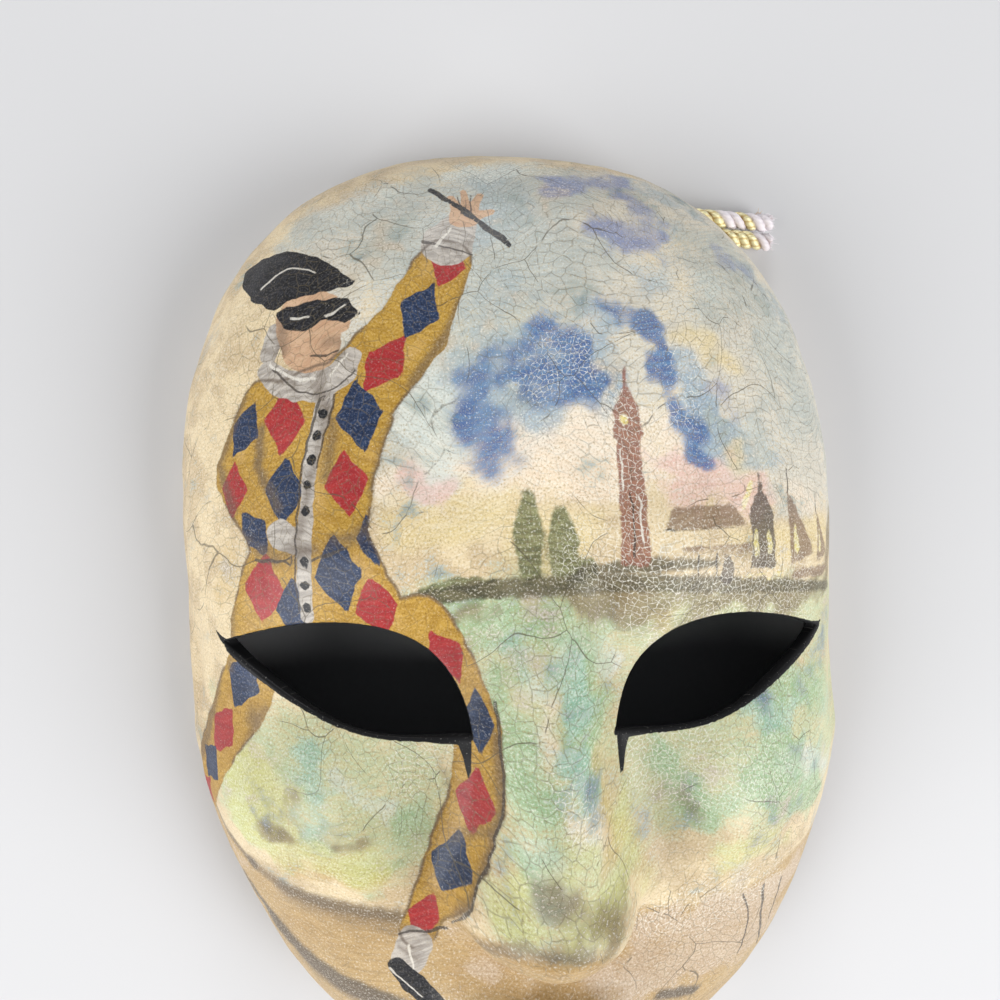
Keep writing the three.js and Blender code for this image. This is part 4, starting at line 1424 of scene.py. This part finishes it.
columns = {name: skin.column(name) for name in ("angle", "reach", "lid", "inner")}
paper = paper_place(columns["angle"], columns["reach"])
columns, PACKS = packed({
    "paper": np.column_stack([paper, columns["inner"]]), "inner": columns["inner"],
    "lid": band_distance(skin.points()[:, :2], columns["lid"]), **picture_columns(paper)})
shell = mesh_piece("painted_shell", skin.points(), skin.faces, columns)


# In metres: how near two points are one, and how short an edge has no length
SAME_POINT = 2e-6
NO_LENGTH = 1e-7


def clean(piece):
    """Joins the points that lie on one another and takes out faces without area."""
    made = bmesh.new()
    made.from_mesh(piece.data)
    bmesh.ops.remove_doubles(made, verts=made.verts, dist=SAME_POINT)
    bmesh.ops.dissolve_degenerate(made, edges=made.edges, dist=NO_LENGTH)
    made.to_mesh(piece.data)
    made.free()


clean(shell)


# Paints: the two colours that each is mottled between, and how much of the ground it hides
PAINTS = {
    "haze": ((0.70, 0.68, 0.60), (0.60, 0.60, 0.55), 0.92),
    "meadow": ((0.58, 0.60, 0.35), (0.49, 0.585, 0.36), 0.9),
    "cyan": ((0.50, 0.55, 0.52), (0.38, 0.45, 0.45), 0.72),
    "light_blue": ((0.22, 0.36, 0.52), (0.33, 0.46, 0.55), 0.82),
    "blue": ((0.022, 0.084, 0.30), (0.085, 0.215, 0.44), 0.94),
    "violet": ((0.15, 0.21, 0.47), (0.26, 0.31, 0.50), 0.85),
    "yellow": ((0.74, 0.60, 0.29), (0.80, 0.68, 0.42), 0.85),
    # Mist also gives the painted highlight on the top of the crown
    "mist_and_sheen": ((0.74, 0.77, 0.70), (0.64, 0.70, 0.66), 0.85),
    "peach": ((0.88, 0.73, 0.56), (0.92, 0.82, 0.68), 0.85),
    "pink": ((0.76, 0.49, 0.44), (0.80, 0.60, 0.54), 0.8),
    "green": ((0.25, 0.46, 0.25), (0.49, 0.64, 0.43), 0.85),
    "turquoise": ((0.27, 0.50, 0.40), (0.46, 0.65, 0.55), 0.85),
    "lime": ((0.58, 0.60, 0.22), (0.66, 0.68, 0.36), 0.85),
    "ochre": ((0.56, 0.38, 0.12), (0.62, 0.46, 0.22), 0.75),
    "umber": ((0.15, 0.105, 0.045), (0.26, 0.20, 0.10), 0.88),
    "rose_grey": ((0.57, 0.445, 0.33), (0.68, 0.555, 0.42), 0.8),
    "shade": ((0.10, 0.082, 0.065), (0.16, 0.13, 0.10), 0.9),
    "sand": ((0.54, 0.37, 0.17), (0.44, 0.295, 0.125), 0.9),
    "leaf": ((0.075, 0.10, 0.045), (0.25, 0.27, 0.12), 0.9),
    "horizon": ((0.060, 0.055, 0.034), (0.15, 0.13, 0.07), 0.9),
    "brick": ((0.33, 0.13, 0.085), (0.22, 0.085, 0.06), 0.92),
    "roof": ((0.19, 0.115, 0.075), (0.31, 0.21, 0.14), 0.85),
    "chapel": ((0.050, 0.042, 0.040), (0.14, 0.11, 0.09), 0.88),
    "lamp": ((0.82, 0.72, 0.24), (0.86, 0.80, 0.56), 0.85),
    "suit": ((0.415, 0.240, 0.036), (0.545, 0.335, 0.062), 1),
    "lozenge_red": ((0.43, 0.036, 0.036), (0.33, 0.024, 0.030), 1),
    "lozenge_blue": ((0.014, 0.027, 0.070), (0.026, 0.050, 0.120), 1),
    "linen": ((0.62, 0.58, 0.53), (0.36, 0.33, 0.30), 1),
    "skin": ((0.66, 0.45, 0.29), (0.56, 0.34, 0.21), 1),
    "jet": ((0.010, 0.010, 0.012), (0.028, 0.028, 0.034), 1),
    "buttons": ((0.008, 0.008, 0.010), (0.020, 0.020, 0.024), 1),
}
CREAM = ((0.76, 0.625, 0.40), (0.64, 0.51, 0.32))
# Order in which the washes are laid, and how soft the edge of each thing in the landscape is
WASH_ORDER = (
    "haze", "meadow", "light_blue", "cyan", "peach", "yellow", "mist_and_sheen", "pink", "green", "ochre", "turquoise",
    "lime", "umber", "violet", "blue",
)
LANDSCAPE = {"leaf": 0.7, "horizon": 1.1, "brick": 0.3, "roof": 0.5, "chapel": 0.3, "lamp": 0.3}
# Colours that lie over the paints
OVER = {
    "streak": (0.86, 0.76, 0.58),
    "glint": (0.62, 0.40, 0.13),
    "fold": (0.13, 0.095, 0.07),
    "ink": (0.055, 0.045, 0.04),
    "chalk": (0.80, 0.77, 0.70),
    "dark spot": (0.55, 0.50, 0.40),
    "pale spot": (0.90, 0.87, 0.79),
    "age_and_shade": (0.62, 0.52, 0.40),
    "small crack": (0.84, 0.81, 0.72),
    "middle crack": (0.15, 0.12, 0.07),
    "wide crack": (0.095, 0.080, 0.052),
    "dark speck": (0.10, 0.08, 0.05),
    "pale speck": (0.88, 0.84, 0.74),
    "rim": (0.006, 0.006, 0.007),
    "chip in the rim": (0.30, 0.29, 0.27),
}
# Nets of cracks, in millimetres: size of a cell, slow and fine wander, half-width and soft edge
NETS = {
    "wide": (19, 1.3, 0.45, 0.055, 0.12),
    "middle": (2.5, 0.8, 0.6, 0.035, 0.14),
    "small": (1.4, 0.5, 0.5, 0.012, 0.12),
}


def shell_material():
    g = Graph("painted_paper", PACKS)
    paper = g.place("paper")
    swirl = g.vector("MULTIPLY", g.place("swirl"), (1, 1, 0))
    blotch = g.parts("swirl")[2]
    tremble = g.vector("SUBTRACT", g.noise(paper, 0.5, 0, colour=True), (0.5, 0.5, 0.5))
    grain = g.noise(paper, 1.9, 3, 0.65)
    streak = g.noise(g.vector("MULTIPLY", g.vector("ADD", paper, swirl), (0.2, 1.0, 1)), 1, 2)
    wobble = g.line(g.noise(paper, 0.8, 1), 0.9, -0.45)
    brushed = g.plus(g.times(grain, 0.8), g.line(streak, 0.4, -0.6))
    loose = g.plus(g.line(blotch, 0.8, -0.4), brushed)
    other = g.plus(g.line(g.value("other"), 0.8, -0.4), brushed)
    turns = (loose, other)
    tone = g.span(g.plus(g.times(streak, 0.55), g.times(grain, 0.45)), 0.40, 0.60)

    def laid(colour, name, cover):
        one, two, strength = PAINTS[name]
        return g.mix(g.times(cover, strength), colour, g.mix(tone, one, two))

    sponged = g.span(grain, 0.34, 0.54, 0.6, 1)
    colour = g.mix(g.span(blotch, 0.35, 0.65), *CREAM)
    colour = g.mix(g.span(streak, 0.52, 0.75, 0, 0.45), colour, OVER["streak"])
    for turn, name in enumerate(WASH_ORDER):
        cover = g.span(g.plus(g.value(name), turns[turn % 2]), 0.2, 0.9)
        colour = laid(colour, name, g.times(cover, sponged))
    colour = laid(colour, "sand", g.span(g.plus(g.value("sand"), g.times(loose, 3)), 1.4, -1.4))
    colour = laid(colour, "rose_grey", g.span(g.plus(g.value("rose_grey"), other), 0.2, 0.8))
    colour = laid(colour, "shade", g.span(g.line(brushed, 0.35, g.value("shade")), 0.05, 0.85))
    thin = g.span(grain, 0.3, 0.5, 0.7, 1)
    for name, soft in LANDSCAPE.items():
        colour = laid(colour, name, g.times(g.span(g.plus(g.value(name), wobble), soft, -0.3), thin))

    def edge(name, soft=0.16, wave=0.45):
        return g.span(g.line(wobble, wave, g.value(name)), soft, -soft)

    suit = edge("suit")
    dusk = g.span(g.math("ABSOLUTE", g.plus(g.value("suit"), 0.15)), 0.7, 0.05, 0, 0.75)
    colour = laid(colour, "suit", suit)
    colour = g.mix(g.times(suit, g.times(g.value("glints"), 0.6)), colour, OVER["glint"])
    for name in ("lozenge_red", "lozenge_blue"):
        colour = laid(colour, name, g.times(suit, edge(name)))
    for name in ("linen", "skin"):
        colour = laid(colour, name, edge(name))
    figure = g.most(suit, g.most(edge("linen"), edge("skin")))
    shadow = g.times(g.times(g.value("folds"), 0.8), figure)
    outline = g.times(dusk, g.span(blotch, 0.4, 0.55, 0.25, 1))
    colour = g.mix(g.most(shadow, outline), colour, OVER["fold"])
    for name in ("jet", "buttons"):
        colour = laid(colour, name, edge(name, 0.14, 0.3))

    def stroke(name, wave):
        across, gap, half = g.parts(name)
        off = g.math("SUBTRACT", g.math("ABSOLUTE", g.line(wobble, wave, across)), half)
        return g.times(g.span(off, 0.14, -0.08), g.span(gap, 1.3, 0.8))

    colour = g.mix(g.times(stroke("ink", 0.4), 0.85), colour, OVER["ink"])
    colour = g.mix(g.times(stroke("chalk", 0.4), 0.8), colour, OVER["chalk"])

    def net(name):
        cell, slow, fine, half, soft = NETS[name]
        slowly, finely = g.vector("SCALE", swirl, scale=slow), g.vector("SCALE", tremble, scale=fine)
        names = {"Vector": g.vector("ADD", paper, g.vector("ADD", slowly, finely)), "Scale": 1 / cell}
        node = g.node("ShaderNodeTexVoronoi", names, feature="DISTANCE_TO_EDGE", voronoi_dimensions="2D")
        return g.span(node.outputs["Distance"], (half + soft) / cell, half / cell)

    crackled, frosted_and_sheen = g.value("crackled"), g.value("frosted_and_sheen")
    broken = g.plus(crackled, loose)
    wide = g.times(net("wide"), g.times(g.span(g.value("other"), 0.36, 0.44), g.span(broken, 0.15, 0.55)))
    middle = g.times(net("middle"), g.span(broken, 0.0, 0.9, 0.25, 1))
    middle = g.times(middle, g.span(streak, 0.36, 0.54, 0.35, 1))
    # Pale net of cracks, which also helps paint the highlight on the top of the crown
    small = g.times(net("small"), g.span(g.plus(frosted_and_sheen, other), 0.25, 0.8))
    dark_spots = g.span(grain, 0.49, 0.30, 0, 0.7)
    pale_spots = g.span(grain, 0.52, 0.70, 0, 0.58)
    plain = g.math("SUBTRACT", 1.0, g.most(g.times(figure, 0.75), g.times(edge("jet"), 0.85)))
    colour = g.mix(dark_spots, colour, OVER["dark spot"], "MULTIPLY")
    colour = g.mix(g.times(pale_spots, plain), colour, OVER["pale spot"])
    # Brown age, and painted shade in the hollows and over the lower left cheek, darken the colour
    colour = g.mix(g.times(g.line(blotch, 0.6, g.value("patina_and_shade")), 0.38), colour, OVER["age_and_shade"], "MULTIPLY")
    colour = g.mix(g.times(small, g.span(grain, 0.38, 0.6, 0.2, 0.8)), colour, OVER["small crack"])
    colour = g.mix(g.times(middle, 0.46), colour, OVER["middle crack"])
    colour = g.mix(g.times(wide, 0.72), colour, OVER["wide crack"])
    speck = g.noise(paper, 2.6, 1)
    colour = g.mix(g.span(speck, 0.74, 0.80, 0, 0.5), colour, OVER["dark speck"])
    colour = g.mix(g.span(speck, 0.27, 0.20, 0, 0.5), colour, OVER["pale speck"])

    inner = g.value("inner")
    rim = g.span(g.line(wobble, 0.5, g.value("lid")), 0.14, -0.06)
    tails = g.span(g.line(wobble, 0.15, g.value("tails")), 0.24, 0.02)
    black = g.mix(g.span(speck, 0.66, 0.76, 0, 0.5), OVER["rim"], OVER["chip in the rim"])
    colour = g.mix(g.most(g.most(inner, rim), tails), colour, black)

    rough = g.span(inner, 0, 1, g.line(g.most(rim, tails), 0.3, 0.52), 0.3, "LINEAR")
    relief = g.plus(g.times(grain, 0.9), g.times(blotch, 2.0))
    bump = g.node("ShaderNodeBump", {"Strength": 0.5, "Distance": 0.0002, "Height": relief})
    shader = g.node("ShaderNodeBsdfPrincipled", {
        "Base Color": colour, "Roughness": rough, "Specular IOR Level": 0.28,
        "Coat Weight": 0.10, "Coat Roughness": 0.22, "Normal": bump.outputs[0]})
    g.node("ShaderNodeOutputMaterial", {"Surface": shader.outputs[0]})
    return g.material


dress(shell, "mask_shell", shell_material())


# Room

FLOOR_REACH = 2
FLOOR_COLOUR = (0.62, 0.62, 0.63)
WORLD_COLOUR = (0.9, 0.94, 1.0, 1)
WORLD_STRENGTH = 0.11
# Lights: name, place, the point that each faces, size in metres and power
LIGHTS = [
    ("window", (-0.93, -0.45, 0.6), (0, 0, 0.03), (0.8, 0.8), 15.5),
    ("fill", (0.85, -0.48, 0.72), (0, 0, 0.03), (0.8, 0.8), 16.6),
    ("back", (0.0, 1.1, 0.42), (0, 0.05, 0.03), (0.5, 0.2), 5.1),
]


def make_floor():
    data = bpy.data.meshes.new("floor")
    corners = [(x * FLOOR_REACH, y * FLOOR_REACH, 0) for x, y in ((-1, -1), (1, -1), (1, 1), (-1, 1))]
    data.from_pydata(corners, [], [(0, 1, 2, 3)])
    floor = add_object("floor", data)
    g = Graph("pale_floor")
    shader = g.node("ShaderNodeBsdfPrincipled", {"Base Color": FLOOR_COLOUR, "Roughness": 0.8})
    g.node("ShaderNodeOutputMaterial", {"Surface": shader.outputs[0]})
    floor.data.materials.append(g.material)


def make_light(name, place, aim, size, power):
    data = bpy.data.lights.new(name, "AREA")
    data.shape = "RECTANGLE"
    data.size, data.size_y = size
    data.energy = power
    light = add_object(name, data)
    back = np.array(place, float) - np.array(aim, float)
    back /= np.linalg.norm(back)
    right = np.cross((0, 1, 0.01), back)
    right /= np.linalg.norm(right)
    up = np.cross(back, right)
    turn = Matrix(np.stack([right, up, back], -1).tolist()).to_4x4()
    turn.translation = place
    light.matrix_world = turn


def make_world():
    world = bpy.data.worlds.new("studio")
    world.use_nodes = True
    background = world.node_tree.nodes["Background"]
    background.inputs[0].default_value = WORLD_COLOUR
    background.inputs[1].default_value = WORLD_STRENGTH
    scene.world = world


make_floor()
for light in LIGHTS:
    make_light(*light)
make_world()
scene.view_settings.view_transform = "Standard"
